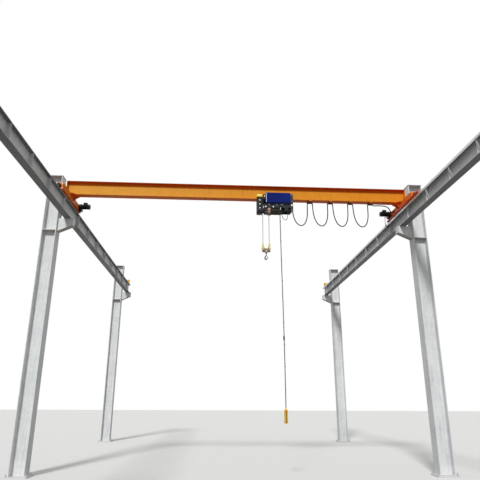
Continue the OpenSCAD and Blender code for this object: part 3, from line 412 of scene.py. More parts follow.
def laid_rope(path, across=(0, 1, 0), sides=24):
    """Six lobes: r(a, s) = R (0.80 + 0.20 |cos 3 (a - 2 pi s / lay)|), turned along the length s."""
    s = lengths(path)[:, None]
    a = np.linspace(0, 2 * np.pi, sides, endpoint=False)[None, :]
    lobes = rope_r * (0.80 + 0.20 * np.abs(np.cos(3 * (a - 2 * np.pi * s / rope_lay))))
    return shell(swept(path, *ring_frames(path, across), lobes[..., None], sides))


def fall(x, y, top):
    """Points down a straight fall, from the height top to the axle of the hook block."""
    z = np.arange(top, block_z, -rope_step)
    z = np.append(z[z > block_z + 0.002], block_z)
    return np.stack([np.full_like(z, x), np.full_like(z, crane_y + y), z], axis=1)


anchor_z = frame_bottom - 0.230
tops = ((fall_x[0], -rope_y, anchor_z + 0.01), (fall_x[0], rope_y, upper_sheave[2]),
        (fall_x[1], -rope_y, drum_z), (fall_x[1], rope_y, upper_sheave[2]))
falls = [laid_rope(fall(*top)) for top in tops]
rope_falls = make("rope_falls", falls, "wire_rope")
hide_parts("ropes")
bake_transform(rope_falls)

# %% [markdown]
# ## Rope over the sheaves and on the drum
# Round each sheave the laid rope follows half a circle. On the drum it is one long helix of touching
# turns, of which only the round backs show, so a plain tube is enough there.

# %% Bights and drum turns
def arc(centre, radius, from_angle, to_angle, step=rope_step, plane="xz"):
    """Points on a circle in the XZ or the YZ plane, about step apart."""
    count = int(abs(to_angle - from_angle) * radius / step) + 1
    a = np.linspace(from_angle, to_angle, count)
    flat, up = radius * np.cos(a), centre[2] + radius * np.sin(a)
    if plane == "xz":
        return np.stack([centre[0] + flat, np.full_like(a, centre[1]), up], axis=1)
    return np.stack([np.full_like(a, centre[0]), centre[1] + flat, up], axis=1)


bight_r = (fall_x[1] - fall_x[0]) / 2
make("upper_bight", [laid_rope(arc(upper_sheave, bight_r, 0, np.pi))], "wire_rope", "hoist")
under_sheaves = [arc((x, crane_y, block_z), rope_y, np.pi, 2 * np.pi, plane="yz") for x in fall_x]
lower = [laid_rope(path, across=(1, 0, 0)) for path in under_sheaves]
bights = make("lower_bights", lower, "wire_rope", "hook_block")
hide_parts("rope_bights")

turns, turn_pitch, coil_r = 26, 0.009, 0.101
wound = np.linspace(0, 2 * np.pi * turns, turns * 40)
drum_coil = np.stack([fall_x[1] + turn_pitch * wound / (2 * np.pi), drum_y + coil_r * np.cos(wound),
                      drum_z + coil_r * np.sin(wound)], axis=1)
make("drum_turns", [tube(drum_coil, rope_r, 8, across=(1, 0, 0))], "wire_rope", "drum")

# %% [markdown]
# ## Bolts
# Bolts are what gives steelwork its scale. One hex head on a washer is worked out once, as five
# rings of twelve points, and is then carried to all of its places by one product of arrays: each
# place has a centre and the direction that its head points in.

# %% Hex heads on washers
def head_rings(across, height, washer):
    """Rings round +Z: washer, hexagon and chamfered top.

    The hexagon's radius is half of across, divided by the cosine of the angle from a flat."""
    a = np.radians(np.arange(12) * 30)
    hexagon = across / 2 / np.cos(np.radians([0, 30] * 6))
    rings = ((washer, 0.0), (washer, height * 0.14), (hexagon, height * 0.14), (hexagon, height * 0.84),
             (across * 0.46, height))
    return np.stack([np.stack([np.cos(a) * r, np.sin(a) * r, np.full(12, z)], axis=1) for r, z in rings])


def facing(normals):
    """For each direction n a frame (t, b, n) with t and b across it."""
    n = np.asarray(normals, float)
    n = n / np.linalg.norm(n, axis=1, keepdims=True)
    helper = np.where(np.abs(n[:, 2:3]) > 0.9, [[1.0, 0, 0]], [[0, 0, 1.0]])
    t = np.cross(helper, n)
    t /= np.linalg.norm(t, axis=1, keepdims=True)
    return np.stack([t, np.cross(n, t), n], axis=1)


def hex_heads(places, normals, across, height, washer=None):
    """Shells of one hex head at each place."""
    rings = head_rings(across, height, washer or across * 0.62)
    places = np.asarray(places, float).reshape(-1, 3)
    normals = np.broadcast_to(np.asarray(normals, float), places.shape)
    spread = np.einsum("rpk,nkj->nrpj", rings, facing(normals)) + places[:, None, None, :]
    return [shell(one) for one in spread]


def every(xs, ys, zs):
    """All places with one of these x, one of these y and one of these z."""
    return np.stack(np.meshgrid(xs, ys, zs, indexing="ij"), axis=-1).reshape(-1, 3)


def box_shell(corner_low, corner_high):
    """A small plate between two corners."""
    a, b = np.asarray(corner_low, float), np.asarray(corner_high, float)
    ring = np.array([[0, 0], [1, 0], [1, 1], [0, 1]])
    rings = np.stack([np.column_stack([a[:2] + ring * (b - a)[:2], np.full(4, z)]) for z in (a[2], b[2])])
    return shell(rings)


print("rings and points of one hex head:", head_rings(0.030, 0.013, 0.018).shape[:2])

# %% [markdown]
# ## Bolts of the runway
# Four anchor studs with nuts hold each column to the floor. Bolts clamp the runway beams to their
# seats, and clips on both sides of the rail's foot hold it every 0.6 m.

# %% Bolts of the columns and beams
both = np.array([-1, 1])


def pairs(centres, half):
    """Two places at each centre, half to both sides of it."""
    return np.concatenate([centre + both * half for centre in centres])


foot_x, foot_y = pairs(both * column_x, 0.210), pairs(column_y, 0.170)
nuts = hex_heads(every(foot_x, foot_y, [0.025]), (0, 0, 1), 0.041, 0.026, 0.027)
studs = [tube(np.array([p, p + (0, 0, 0.058)]), 0.012, 10) for p in every(foot_x, foot_y, [0.03])]
make("anchor_nuts", nuts + studs, "zinc", "runway")
beam_flange, seat_plate = 0.011, 0.014
rails = both * rail_x
seats = every(pairs(rails, 0.055), pairs(column_y, 0.042), [beam_bottom + beam_flange])
under = seats - (0, 0, beam_flange + seat_plate)
seat_bolts = hex_heads(seats, (0, 0, 1), 0.030, 0.013) + hex_heads(under, (0, 0, -1), 0.030, 0.018)
make("beam_seat_bolts", seat_bolts, "zinc", "runway")

# %% Rail clips
clip_y = np.arange(-8.7, 8.71, 0.6)
clip_top = beam_top + 0.008
clips, clip_bolts = [], []
for side in both:
    for flank in both:
        x = side * rail_x + flank * 0.046
        clips += [box_shell((x - 0.021, y - 0.025, beam_top - 0.001), (x + 0.021, y + 0.025, clip_top))
                  for y in clip_y]
        on_clips = every([x + flank * 0.004], clip_y, [clip_top])
        clip_bolts += hex_heads(on_clips, (0, 0, 1), 0.016, 0.007, 0.010)
make("rail_clips", clips, "rail_steel", "runway", smooth=False)
make("rail_clip_bolts", clip_bolts, "zinc", "runway")

# %% [markdown]
# ## Bolts of the bridge
# Bolts show in four places on the end carriages: four round each buffer, three on each axle cover,
# a row at each side of the girder on the saddle plates, and four on the flange of each drive.

# %% Bolts on the end carriages
half_carriage, half_wheelbase = 0.82, 0.65
buffer_z, axle_z = float(middle("buffers")[2]), float(middle("wheel_right_front")[2])
bridge_bolts = []
for way in both:
    on_end = every(pairs(rails, 0.068), [crane_y + way * half_carriage], buffer_z + both * 0.058)
    bridge_bolts += hex_heads(on_end, (0, way, 0), 0.019, 0.009)
third = np.radians([90, 210, 330])
cover_y, cover_z = 0.031 * np.cos(third), axle_z + 0.031 * np.sin(third)
for side in both:
    for way in both:
        for y in crane_y + both * half_wheelbase:
            rim = np.stack([np.full(3, side * rail_x + way * 0.096), y + cover_y, cover_z], axis=1)
            bridge_bolts += hex_heads(rim, (way, 0, 0), 0.013, 0.006)
saddle_y = crane_y + np.array([-0.175, -0.130, 0.130, 0.175])
bridge_bolts += hex_heads(every(pairs(rails, 0.055), saddle_y, [girder_bottom]), (0, 0, 1), 0.024, 0.011)
drive_y, drive_z = crane_y + half_wheelbase, axle_z + 0.036
for side in both:
    on_flange = every([side * (rail_x - 0.170)], drive_y + both * 0.048, drive_z + both * 0.088)
    bridge_bolts += hex_heads(on_flange, (-side, 0, 0), 0.017, 0.008)
make("bridge_bolts", bridge_bolts, "zinc", "bridge")

# %% [markdown]
# ## Bolts of the hoist
# Large nuts end the axles of the trolley wheels, smaller bolts run along the lower edge of the two
# side plates, and three light heads close the gear case. Each cable carrier has a nut per roller.

# %% Bolts on the trolley and the gear case
wheel_z = float(middle("trolley_wheel_front_left")[2])
wheel_x, plate_y, nut_out = (0.675, 1.230), 0.131, 0.012
hoist_bolts = hex_heads(every(wheel_x, [crane_y - plate_y - nut_out], [wheel_z]), (0, -1, 0), 0.036, 0.014)
hoist_bolts += hex_heads([(wheel_x[1], crane_y + plate_y + nut_out, wheel_z)], (0, 1, 0), 0.036, 0.014)
frame_left, frame_right = float(low("trolley_frame")[0]) + 0.03, float(high("trolley_frame")[0]) - 0.03
edge_x = [frame_left + 0.03, frame_left + 0.12, 0.95, frame_right - 0.03]
edge_z = float(low("trolley_rear_plate")[2]) + 0.016
for side in both:
    hoist_bolts += hex_heads(every(edge_x, [crane_y + side * plate_y], [edge_z]), (0, side, 0), 0.019, 0.009)
gear_x, gear_front = 0.527, float(low("gearbox")[1])
gear_bolts = hex_heads(every([gear_x], [gear_front], [6.422, 6.314, 6.206]), (0, -1, 0), 0.028, 0.012)
make("gear_case_bolts", gear_bolts, "zinc", "hoist")
make("hoist_bolts", hoist_bolts, "zinc", "hoist")

# %% Nuts of the cable carriers
carriers = {"festoon_clamp": "bridge", **{f"festoon_trolley_{k}": f"festoon_trolley_{k}" for k in (1, 2, 3)}}
roller_z = girder_bottom + 0.013 + 0.0113
for node, body in carriers.items():
    roller_x = float(middle(node)[0]) + both * 0.021
    ends = []
    for side in both:
        ends += hex_heads(every(roller_x, [crane_y + side * 0.118], [roller_z]), (0, side, 0), 0.010, 0.004)
    make(node + "_nuts", ends, "zinc", body)

# %% [markdown]
# ## The control cabinet
# The blue cabinet is a folded sheet-metal box. Its door stands a little proud with rounded edges,
# and it has a narrow light strip on its left edge and two quarter-turn locks. A rounded plate is a
# rectangle with round corners carried through its thickness, with the front rim drawn in.

# %% Rounded plates on the cabinet
def rounded_plate(centre, width, height, depth, corner=0.012, edge=0.003, points=48):
    """Outline with round corners in XZ; rings step forwards through the depth and draw in by edge."""
    a = np.linspace(0, 2 * np.pi, points, endpoint=False)

    def outline(w, h, r):
        """A rectangle with corners of radius r, traced as a circle pushed out to four corners."""
        return np.stack([np.sign(np.cos(a)) * (w / 2 - r) + r * np.cos(a),
                         np.sign(np.sin(a)) * (h / 2 - r) + r * np.sin(a)], axis=1)

    rings = []
    for out, inset in ((0.0, 0.0), (depth - edge, 0.0), (depth - edge * 0.3, edge * 0.3), (depth, edge)):
        o = outline(width - 2 * inset, height - 2 * inset, max(corner - inset, 0.001))
        rings.append(np.stack([centre[0] + o[:, 0], np.full(points, centre[1] - out),
                               centre[2] + o[:, 1]], axis=1))
    return shell(np.array(rings))


left, front, tall = float(cabinet_low[0]), float(cabinet_low[1]), 0.280
door_z = float(cabinet_high[2]) - tall / 2
door = rounded_plate((left + 0.318, front + 0.002, door_z), 0.576, tall - 0.024, 0.004)
make("cabinet_door", [door], "cabinet_blue", "hoist")
strip = rounded_plate((left + 0.014, front + 0.002, door_z), 0.012, tall - 0.020, 0.003, corner=0.004)
make("cabinet_strip", [strip], "zinc", "hoist")
locks = [rounded_plate((left + 0.590, front - 0.0005, door_z + side * 0.085), 0.018, 0.018, 0.0012,
                       corner=0.0085) for side in both]
make("cabinet_locks", locks, "zinc", "hoist")

# %% [markdown]
# ## Turned details
# Caps, buttons, cable boots and sleeves are all turned shapes: a profile of radius against height is
# swept round an axis. One function does that for any place and any direction of the axis, so the
# profile is all that a new detail needs.

# %% Turned shapes
def turned(profile, place, direction=(0, 0, 1), sides=20):
    """Ring k: place + h_k n + r_k (cos a t + sin a b), for each (r_k, h_k) of the profile along n."""
    t, b, n = facing(np.array([direction], float))[0]
    a = np.linspace(0, 2 * np.pi, sides, endpoint=False)
    r, h = np.asarray(profile, float).T
    circle = np.cos(a)[:, None] * t + np.sin(a)[:, None] * b
    return shell(np.asarray(place, float) + h[:, None, None] * n + r[:, None, None] * circle)


button = np.array([(13.6, -3), (13.6, 0.8), (12.2, 2.4), (9.6, 2.6), (9.2, 5.6), (7.8, 7.0), (4.2, 7.6),
                   (0.3, 7.7)]) / 1000
print("a button is", round(float(np.ptp(button[:, 1])) * 1000, 1), "mm high")

# %% [markdown]
# ## The pendant
# A pendant for a crane like this has a row of push buttons under rubber boots. The uppermost is the
# stop button, a red mushroom head. A thin strain wire carries the weight, so that the cable does
# not, and ties hold the two together. A black sleeve covers a joint of the cable on its way down.

# %% Buttons
pendant_low, pendant_high = low("pendant"), high("pendant")
pendant_x, pendant_face = float(middle("pendant")[0]), pendant_low[1]
button_z = pendant_low[2] + 0.040 + 0.042 * np.arange(6)
caps = [turned(button, (pendant_x, pendant_face, z), (0, -1, 0)) for z in button_z[:5]]
make("pendant_buttons", caps, "rubber", "hoist")
mushroom = np.array([(8, -3), (8, 1.5), (17.5, 2.0), (18.5, 4.5), (17, 7.5), (12, 9.0), (0.4, 9.6)]) / 1000
stop = turned(mushroom, (pendant_x, pendant_face, button_z[5]), (0, -1, 0))
make("pendant_stop", [stop], "guard_red", "hoist")

# %% Strain wire and ties
wire_path = pendant_path[2:] + (0.0135, 0, 0)
wire_path[-1, 2] = pendant_high[2] - 0.038
strain_wire = make("strain_wire", [tube(wire_path, 0.002, 6)], "wire_rope", "hoist")
band = np.array([(9.5, -7), (14.5, -6), (15.0, 0), (14.5, 6), (9.5, 7)]) / 1000
sleeve = np.array([(9.5, -55), (16, -48), (19, -30), (19, 30), (16, 48), (9.5, 55)]) / 1000
sleeve_z = 2.98
joint = pendant_path[int(np.abs(pendant_path[:, 2] - sleeve_z).argmin())]
ties = [turned(band, pendant_path[k] + (0.006, 0, 0), (0, 0, 1), 14)
        for k in range(24, len(pendant_path) - 12, 25)]
ties.append(turned(sleeve, joint, (0, 0, 1)))
make("pendant_ties", ties, "rubber", "hoist")

# %% [markdown]
# ## Cable boots
# Where a cable leaves the cabinet, a ribbed rubber boot keeps it from kinking. Its radius falls
# evenly along its length, and a cosine of the length adds the ribs.

# %% Boots at the glands
def boot(wide, narrow, length, ribs=5, rows=31):
    """Radius = an even taper from wide to narrow, plus 0.9 mm times cos(2 pi ribs h / length)."""
    h = np.linspace(0, length, rows)
    r = wide + (narrow - wide) * h / length + 0.0009 * np.cos(2 * np.pi * ribs * h / length)
    return np.column_stack([r, h])


boots = [turned(boot(0.0135, 0.0098, 0.045), pendant_path[0] - (0, 0, 0.010), (0, 0, -1)),
         turned(boot(0.0125, 0.0088, 0.040), motor_path[0] - (0, 0, 0.010), (0, 0, -1))]
make("cable_boots", boots, "rubber", "hoist")

# %% [markdown]
# ## Fixings on the hoist
# Seen from the floor, the machinery under the cabinet is nearly black, and what shows there is its
# bright heads, pins and brackets. Each sits on the face that carries it: the front plate under the
# cabinet, the channel at the right end, the gear case and the cheeks of the hook block.

# %% Bright heads and brackets
front_plate, channel_x, channel_face = low("bearing_plates")[1], 1.330, cabinet_low[1]
heads = hex_heads(every([0.675, 0.865], [front_plate], [6.242]), (0, -1, 0), 0.034, 0.012)
heads += hex_heads([(0.760, front_plate, 6.300)], (0, -1, 0), 0.020, 0.008)
heads += hex_heads([(channel_x, channel_face, 6.267)], (0, -1, 0), 0.044, 0.012)
heads += hex_heads([(channel_x, channel_face, 6.082)], (0, -1, 0), 0.026, 0.010)
heads += hex_heads(every([channel_x], [channel_face], [6.150, 6.380, 6.540]), (0, -1, 0), 0.014, 0.006)
make("front_heads", heads, "zinc", "hoist")
bracket_y = front_plate + 0.001
brackets = [rounded_plate((1.075, bracket_y, 6.304), 0.078, 0.022, 0.005, corner=0.006),
            rounded_plate((1.042, bracket_y, 6.196), 0.030, 0.076, 0.005, corner=0.008),
            rounded_plate((0.960, bracket_y, 6.296), 0.040, 0.012, 0.003, corner=0.004)]
make("front_brackets", brackets, "zinc", "hoist")

# %% Lid and ribs of the gear case
cap_low, cap_high = low("gearbox_cap"), high("gearbox_cap")
cap_x, _, cap_z = (cap_low + cap_high) / 2
cap_width, _, cap_height = cap_high - cap_low
# The lid's pale yellow finish, cap_highlight, is a painted highlight on the cap.
cap_lid = rounded_plate((cap_x, cap_low[1] + 0.001, cap_z + 0.004), cap_width - 0.028, cap_height - 0.030,
                        0.003, corner=0.010)
make("cap_lid", [cap_lid], "yellow_paint", "hoist")
rib_z = (6.458, 6.368, 6.262, 6.150)
ribs = [rounded_plate((gear_x, gear_front + 0.001, z), 0.112, 0.007, 0.004, corner=0.003) for z in rib_z]
make("gear_case_ribs", ribs, "gear_case", "hoist")

# %% Pins of the hook block
cheek_low, cheek_high = low("block_frame"), high("block_frame")
pins = hex_heads([(cheek_low[0], crane_y, block_z)], (-1, 0, 0), 0.034, 0.012)
pins += hex_heads([(cheek_high[0], crane_y, block_z)], (1, 0, 0), 0.034, 0.012)
pins += hex_heads(every(fall_x, [low("sheave_guards")[1]], [block_z]), (0, -1, 0), 0.015, 0.006)
round_head = [(0.019, -0.002), (0.019, 0.006), (0.016, 0.009), (0.006, 0.010), (0.0004, 0.010)]
pins.append(turned(round_head, (block[0], float(cheek_low[1]), block_z - 0.070), (0, -1, 0), 24))
make("block_pins", pins, "zinc", "hook_block")

# %% [markdown]
# ## Rings on the fan cowls
# The end of each motor is a pressed cowl with rings of slots for its fan. The raised rings between
# the slots are closed tubes on circles.

# %% Cowl rings
def ring_on(place, radius, thick, points=48):
    """Ring at angle b of a circle in the YZ plane: circle(b) + thick (cos a outwards + sin a along X)."""
    path = arc(place, radius, 0, 2 * np.pi, 2 * np.pi * radius / points, plane="yz")[:-1]
    out = path - place
    out /= np.linalg.norm(out, axis=1, keepdims=True)
    return shell(swept(path, out, np.array([[1.0, 0, 0]]), thick, 8), closed_rows=True)


cowl = (float(high("hoist_motor")[0]), drum_y, drum_z)
hoist_rings = [ring_on(cowl, r, 0.0028) for r in (0.024, 0.040, 0.056, 0.072)]
make("hoist_cowl_rings", hoist_rings, "drive_black", "hoist")
travel_rings, travel_motor_z = [], 6.485
for face in (high("travel_drive_left")[0], low("travel_drive_right")[0]):
    cowl = (float(face), drive_y, travel_motor_z)
    travel_rings += [ring_on(cowl, r, 0.0022) for r in (0.018, 0.030, 0.042)]
make("travel_cowl_rings", travel_rings, "drive_black", "bridge")

# %% [markdown]
# ## Weld beads at the column feet
# Each column is welded to its base plate all round. A bead is a tube along the outline of the
# section, and its radius swells and falls every twelve millimetres, as a hand weld does.

# %% Beads round the section
def bead(corners, radius, step=0.004, swell=0.012):
    """Tube on a closed outline; radius times (1 + 0.16 cos(2 pi s / swell)) at length s."""
    corners = np.vstack([corners, corners[:1]])
    length = lengths(corners)
    s = np.arange(0, length[-1] - step / 2, step)
    path = np.stack([np.interp(s, length, corners[:, k]) for k in range(3)], axis=1)
    r = radius * (1 + 0.16 * np.cos(2 * np.pi * s / swell))
    ahead = np.roll(path, -1, axis=0) - np.roll(path, 1, axis=0)
    ahead /= np.linalg.norm(ahead, axis=1, keepdims=True)
    up = np.array([[0, 0, 1.0]])
    return shell(swept(path, np.cross(ahead, up), up, r[:, None, None], 6), closed_rows=True)


outer, half_width, flange_t, half_web = column_half_depth, 0.150, 0.016, 0.006
bead_z, bead_r = 0.027, 0.006
quarter = np.array([(outer, -half_width), (outer, half_width), (outer - flange_t, half_width),
                    (outer - flange_t, half_web)])
section = np.vstack([quarter, quarter[::-1] * (-1, 1), quarter * (-1, -1), quarter[::-1] * (1, -1)])
foot_beads = [bead(np.column_stack([section + (side * column_x, y), np.full(len(section), bead_z)]), bead_r)
              for side in both for y in column_y]
make("foot_welds", foot_beads, "runway_paint", "runway")

# %% [markdown]
# ## Finishes
# Each finish is a small tree of procedural nodes on Object coordinates, which are the same as the
# frame's own metres, so a grain has its real size. The class below adds nodes with short calls.

# %% Building blocks for finishes
def linear(red, green, blue):
    """An sRGB colour of 0 to 255 as linear values, by the curve of the sRGB standard."""
    c = np.array([red, green, blue]) / 255
    c = np.where(c <= 0.04045, c / 12.92, ((c + 0.055) / 1.055) ** 2.4)
    return (*[float(k) for k in c], 1.0)


finishes = {}


class Finish:
    """A material, with short calls for the nodes that most finishes share."""

    def __init__(self, name):
        finishes[name] = self
        self.material = bpy.data.materials.new(name)
        self.material.use_nodes = True
        self.tree = self.material.node_tree
        self.shader = self.tree.nodes["Principled BSDF"]
        self.shader.inputs["Specular IOR Level"].default_value = 0.22
        self.place = self.tree.nodes.new("ShaderNodeTexCoord").outputs["Object"]

    def add(self, kind, **inputs):
        """A node with its inputs set or linked; i0, i1 and so on stand for an input's number."""
        node = self.tree.nodes.new(kind)
        for key, value in inputs.items():
            socket = node.inputs[int(key[1:]) if key[1:].isdigit() else key]
            if hasattr(value, "links"):
                self.tree.links.new(value, socket)
            else:
                socket.default_value = value
        return node

    def scaled(self, x, y, z):
        return self.add("ShaderNodeMapping", Vector=self.place, Scale=(x, y, z)).outputs["Vector"]

    def noise(self, scale, detail=3.0, vector=None, rough=0.5):
        return self.add("ShaderNodeTexNoise", Vector=vector or self.place, Scale=scale, Detail=detail,
                        Roughness=rough).outputs["Fac"]

    def ramp(self, value, low_in, high_in, low_out=0.0, high_out=1.0):
        """The value, with low_in to high_in spread over low_out to high_out and held there."""
        return self.add("ShaderNodeMapRange", **{
            "Value": value, "From Min": low_in, "From Max": high_in, "To Min": low_out, "To Max": high_out
        }).outputs["Result"]

    def times(self, a, b):
        """The product of two values."""
        node = self.add("ShaderNodeMath", i0=a, i1=b)
        node.operation = "MULTIPLY"
        return node.outputs[0]

    def blend(self, factor, a, b, kind="MIX"):
        """Colour a where the factor is 0 and b, or a changed by b, where it is 1."""
        node = self.add("ShaderNodeMix", i0=factor, i6=a, i7=b)
        node.data_type, node.blend_type = "RGBA", kind
        return node.outputs[2]

    def tinted(self, share, base, tint):
        """The base colour, multiplied by the tint where share is 1."""
        return self.blend(share, base, self.blend(1.0, base, tint, "MULTIPLY"))

    def along(self, axis):
        """The place along an axis of the frame, in metres."""
        return self.add("ShaderNodeSeparateXYZ", Vector=self.place).outputs[axis]

    def up_down(self):
        """How far a face looks up (1) or down (-1)."""
        normal = self.tree.nodes.new("ShaderNodeNewGeometry").outputs["Normal"]
        return self.add("ShaderNodeSeparateXYZ", Vector=normal).outputs["Z"]

    def bump(self, height, distance, strength=0.4):
        node = self.add("ShaderNodeBump", Height=height, Distance=distance, Strength=strength)
        self.tree.links.new(node.outputs["Normal"], self.shader.inputs["Normal"])

    def feed(self, socket, value):
        self.tree.links.new(value, self.shader.inputs[socket])

    def set(self, **values):
        for key, value in values.items():
            self.shader.inputs[key.replace("_", " ")].default_value = value


print("middle grey as a linear colour", round(linear(128, 128, 128)[0], 3))

# %% [markdown]
# ## Paint and metal
# Paint gets slow changes of tone, fine dust on what faces up, grime that has run down, a darker
# underside that is painted shade, and the soft orange peel of a sprayed coat in its bump. Steel gets
# brushed streaks, soft stains and a pitted skin, which is coarser on forged and cast pieces.

# %% Two recipes
def paint(name, colour, second=None, rough=0.42, dust=0.35, grime=0.30, under=(0.72, 0.62, 0.55, 1.0),
          tone=0.10, gloss=0.22):
    """Sprayed paint: tone changes, run-down grime, dust on top, painted shade on the underside and orange
    peel.
    """
    f = Finish(name)
    base = f.blend(f.ramp(f.noise(1.7, 4), 0.35, 0.65), colour, second or colour)
    value = f.ramp(f.noise(9.0, 5, rough=0.6), 0.3, 0.7, 1 - tone, 1 + tone * 0.4)
    base = f.blend(1.0, base, value, "MULTIPLY")
    streak = f.ramp(f.noise(1.0, 4, f.scaled(26, 26, 1.6)), 0.52, 0.75)
    base = f.blend(f.times(streak, grime), base, tuple(c * 0.35 for c in colour[:3]) + (1,))
    look = f.up_down()
    # Painted shade: faces that look down are multiplied by the under tint.
    base = f.tinted(f.ramp(look, -0.5, -0.9), base, under)
    speck = f.ramp(f.noise(30, 5), 0.30, 0.62, 0.35, 1.0)
    base = f.blend(f.times(f.times(f.ramp(look, 0.55, 0.95), speck), dust), base, linear(168, 158, 142))
    f.feed("Base Color", base)
    f.set(Specular_IOR_Level=gloss)
    f.feed("Roughness", f.ramp(f.noise(14, 4), 0.3, 0.7, rough - 0.08, rough + 0.14))
    f.bump(f.noise(420, 2), 0.0004, 0.25)


def metal(name, colour, rough=0.38, metallic=0.85, streaks=(4, 4, 90), pit=0.0006, spots=0.25):
    """Bare or plated steel: fine brushed streaks across the part, soft stains and a pitted skin."""
    f = Finish(name)
    line = f.noise(1.0, 3, f.scaled(*streaks))
    stain = f.ramp(f.noise(7, 5, rough=0.65), 0.45, 0.72)
    base = f.blend(f.ramp(line, 0.3, 0.7, 0.0, 0.35), colour, tuple(c * 0.6 for c in colour[:3]) + (1,))
    base = f.blend(f.times(stain, spots), base, linear(96, 74, 56))
    f.feed("Base Color", base)
    f.feed("Roughness", f.ramp(line, 0.3, 0.7, rough - 0.10, rough + 0.14))
    f.set(Metallic=metallic)
    f.bump(f.noise(160, 4), pit, 0.35)


# %% [markdown]
# ## The crane's orange
# The girder is painted warmer and lighter at its left end and redder to the right, as painted light.
# The change runs along X over the whole span. Undersides and the top of the web, in the shadow of
# the upper flange, are a deeper red: painted shade.

# %% Paints
def orange_with_painted_light(name, left_end, right_end):
    """The crane's orange, from one tone at the left end of the span to another at the right end, as painted
    light, with painted shade under the flanges.
    """
    f = Finish(name)
    # Painted light: the ramp along X makes the left end lighter and yellower and the right end redder.
    base = f.blend(f.ramp(f.along("X"), -4.2, 4.2), left_end, right_end)
    base = f.blend(1.0, base, f.ramp(f.noise(5, 5, rough=0.6), 0.3, 0.7, 0.93, 1.03), "MULTIPLY")
    runs = f.ramp(f.noise(1.0, 4, f.scaled(18, 18, 1.4)), 0.55, 0.8)
    base = f.blend(f.times(runs, 0.22), base, linear(120, 60, 18))
    tilt = f.up_down()
    web_shadow_band, flange_shade_band = f.ramp(f.along("Z"), 6.790, 6.845), f.ramp(f.along("Z"), 6.884, 6.888)
    # Painted shadow: the top of the web, under the upper flange, is tinted red-brown.
    base = f.tinted(web_shadow_band, base, (0.98, 0.50, 0.12, 1))
    # Painted shade: above 6.888 m the upper flange and the web just below it are darkened.
    base = f.tinted(flange_shade_band, base, (0.50, 0.62, 1.0, 1))
    # Painted shade: faces that look down are tinted redder and darker.
    base = f.tinted(f.ramp(tilt, -0.5, -0.9), base, (1.45, 0.62, 0.16, 1))
    base = f.blend(f.times(f.ramp(tilt, 0.55, 0.95), 0.30), base, linear(176, 160, 134))
    f.feed("Base Color", base)
    f.set(Specular_IOR_Level=0.10)
    f.feed("Roughness", f.ramp(f.noise(12, 4), 0.3, 0.7, 0.34, 0.52))
    f.bump(f.noise(420, 2), 0.0004, 0.25)


orange_with_painted_light("crane_orange", linear(217, 153, 44), linear(219, 137, 32))
orange_with_painted_light("carriage_orange", linear(228, 122, 40), linear(234, 116, 40))
paint("runway_paint", linear(226, 228, 228), linear(217, 219, 220), rough=0.48)
# The beams' dark under tint is painted shade on their undersides.
paint("beam_paint", linear(214, 216, 217), linear(204, 207, 209), rough=0.46,
      under=(0.34, 0.33, 0.32, 1.0))
paint("stop_paint", linear(224, 158, 40), rough=0.45)
paint("drive_black", linear(27, 28, 30), rough=0.38, dust=0.25, grime=0.1)
paint("guard_red", linear(204, 52, 34), linear(188, 44, 32), rough=0.40)
paint("dark_steel", linear(40, 42, 46), linear(34, 36, 40), rough=0.40, dust=0.25)
paint("gear_case", linear(34, 38, 42), linear(26, 30, 34), rough=0.36, dust=0.25)
paint("yellow_paint", linear(240, 214, 52), linear(232, 200, 44), rough=0.36, dust=0.2, grime=0.2,
      under=(0.85, 0.75, 0.5, 1))
paint("cabinet_blue", linear(12, 34, 116), linear(9, 28, 104), rough=0.30, dust=0.2, grime=0.12,
      under=(0.6, 0.6, 0.7, 1), gloss=0.08)
# The olive under tint is painted shade.
paint("guard_yellow", linear(236, 222, 118), linear(222, 206, 96), rough=0.36, dust=0.2, grime=0.3,
      under=(0.45, 0.42, 0.25, 1))
# A pale yellow that stands for a painted highlight on the gear case cap.
paint("cap_highlight", linear(248, 236, 150), rough=0.34, dust=0.1, grime=0.1)
paint("pendant_plastic", linear(232, 186, 44), rough=0.46, dust=0.1, grime=0.12)
paint("festoon_carrier", linear(30, 31, 33), linear(40, 40, 42), rough=0.5)
print(len(finishes), "paints")

# %% [markdown]
# ## Metals and rubber
# Rails, wheels and sheaves are bright where they run, the rope on the drum is dark with grease, and
# the forged hook is nearly black. Three pieces have two colours: the rope guide's rod is oily beyond
# its nut, the carriers are orange above their saddles, and the collector is black below its strap.

# %% Metals and rubber
metal("rail_steel", linear(150, 146, 140), rough=0.42, streaks=(60, 2, 60))
metal("zinc", linear(206, 208, 206), rough=0.34, spots=0.10)
metal("wheel_steel", linear(150, 150, 150), rough=0.40, metallic=0.8)
metal("guide_iron", linear(150, 126, 114), rough=0.50, metallic=0.45)
metal("drum_steel", linear(66, 62, 58), rough=0.52, streaks=(90, 4, 4))
metal("sheave_iron", linear(140, 142, 146), rough=0.42)
metal("wire_rope", linear(150, 146, 136), rough=0.46, metallic=0.75, streaks=(900, 900, 900))
metal("greased_rope", linear(46, 43, 38), rough=0.42, metallic=0.4, streaks=(900, 900, 900))
metal("forged_steel", linear(48, 48, 50), rough=0.50, metallic=0.15, pit=0.0012)
metal("rope_guide", linear(158, 132, 120), rough=0.50, metallic=0.40)
metal("collector", linear(196, 198, 196), rough=0.36, spots=0.10)
for name, grey, rough in (("rubber", 34, 0.78), ("cable_black", 32, 0.58)):
    f = Finish(name)
    f.feed("Base Color", f.blend(f.ramp(f.noise(24, 4), 0.35, 0.7), linear(grey, grey, grey + 1),
                                 linear(grey + 22, grey + 21, grey + 19)))
    f.feed("Roughness", f.ramp(f.noise(60, 3), 0.3, 0.7, rough - 0.08, rough + 0.12))
    f.bump(f.noise(700, 2), 0.0003, 0.3)
print(len(finishes), "finishes in all")

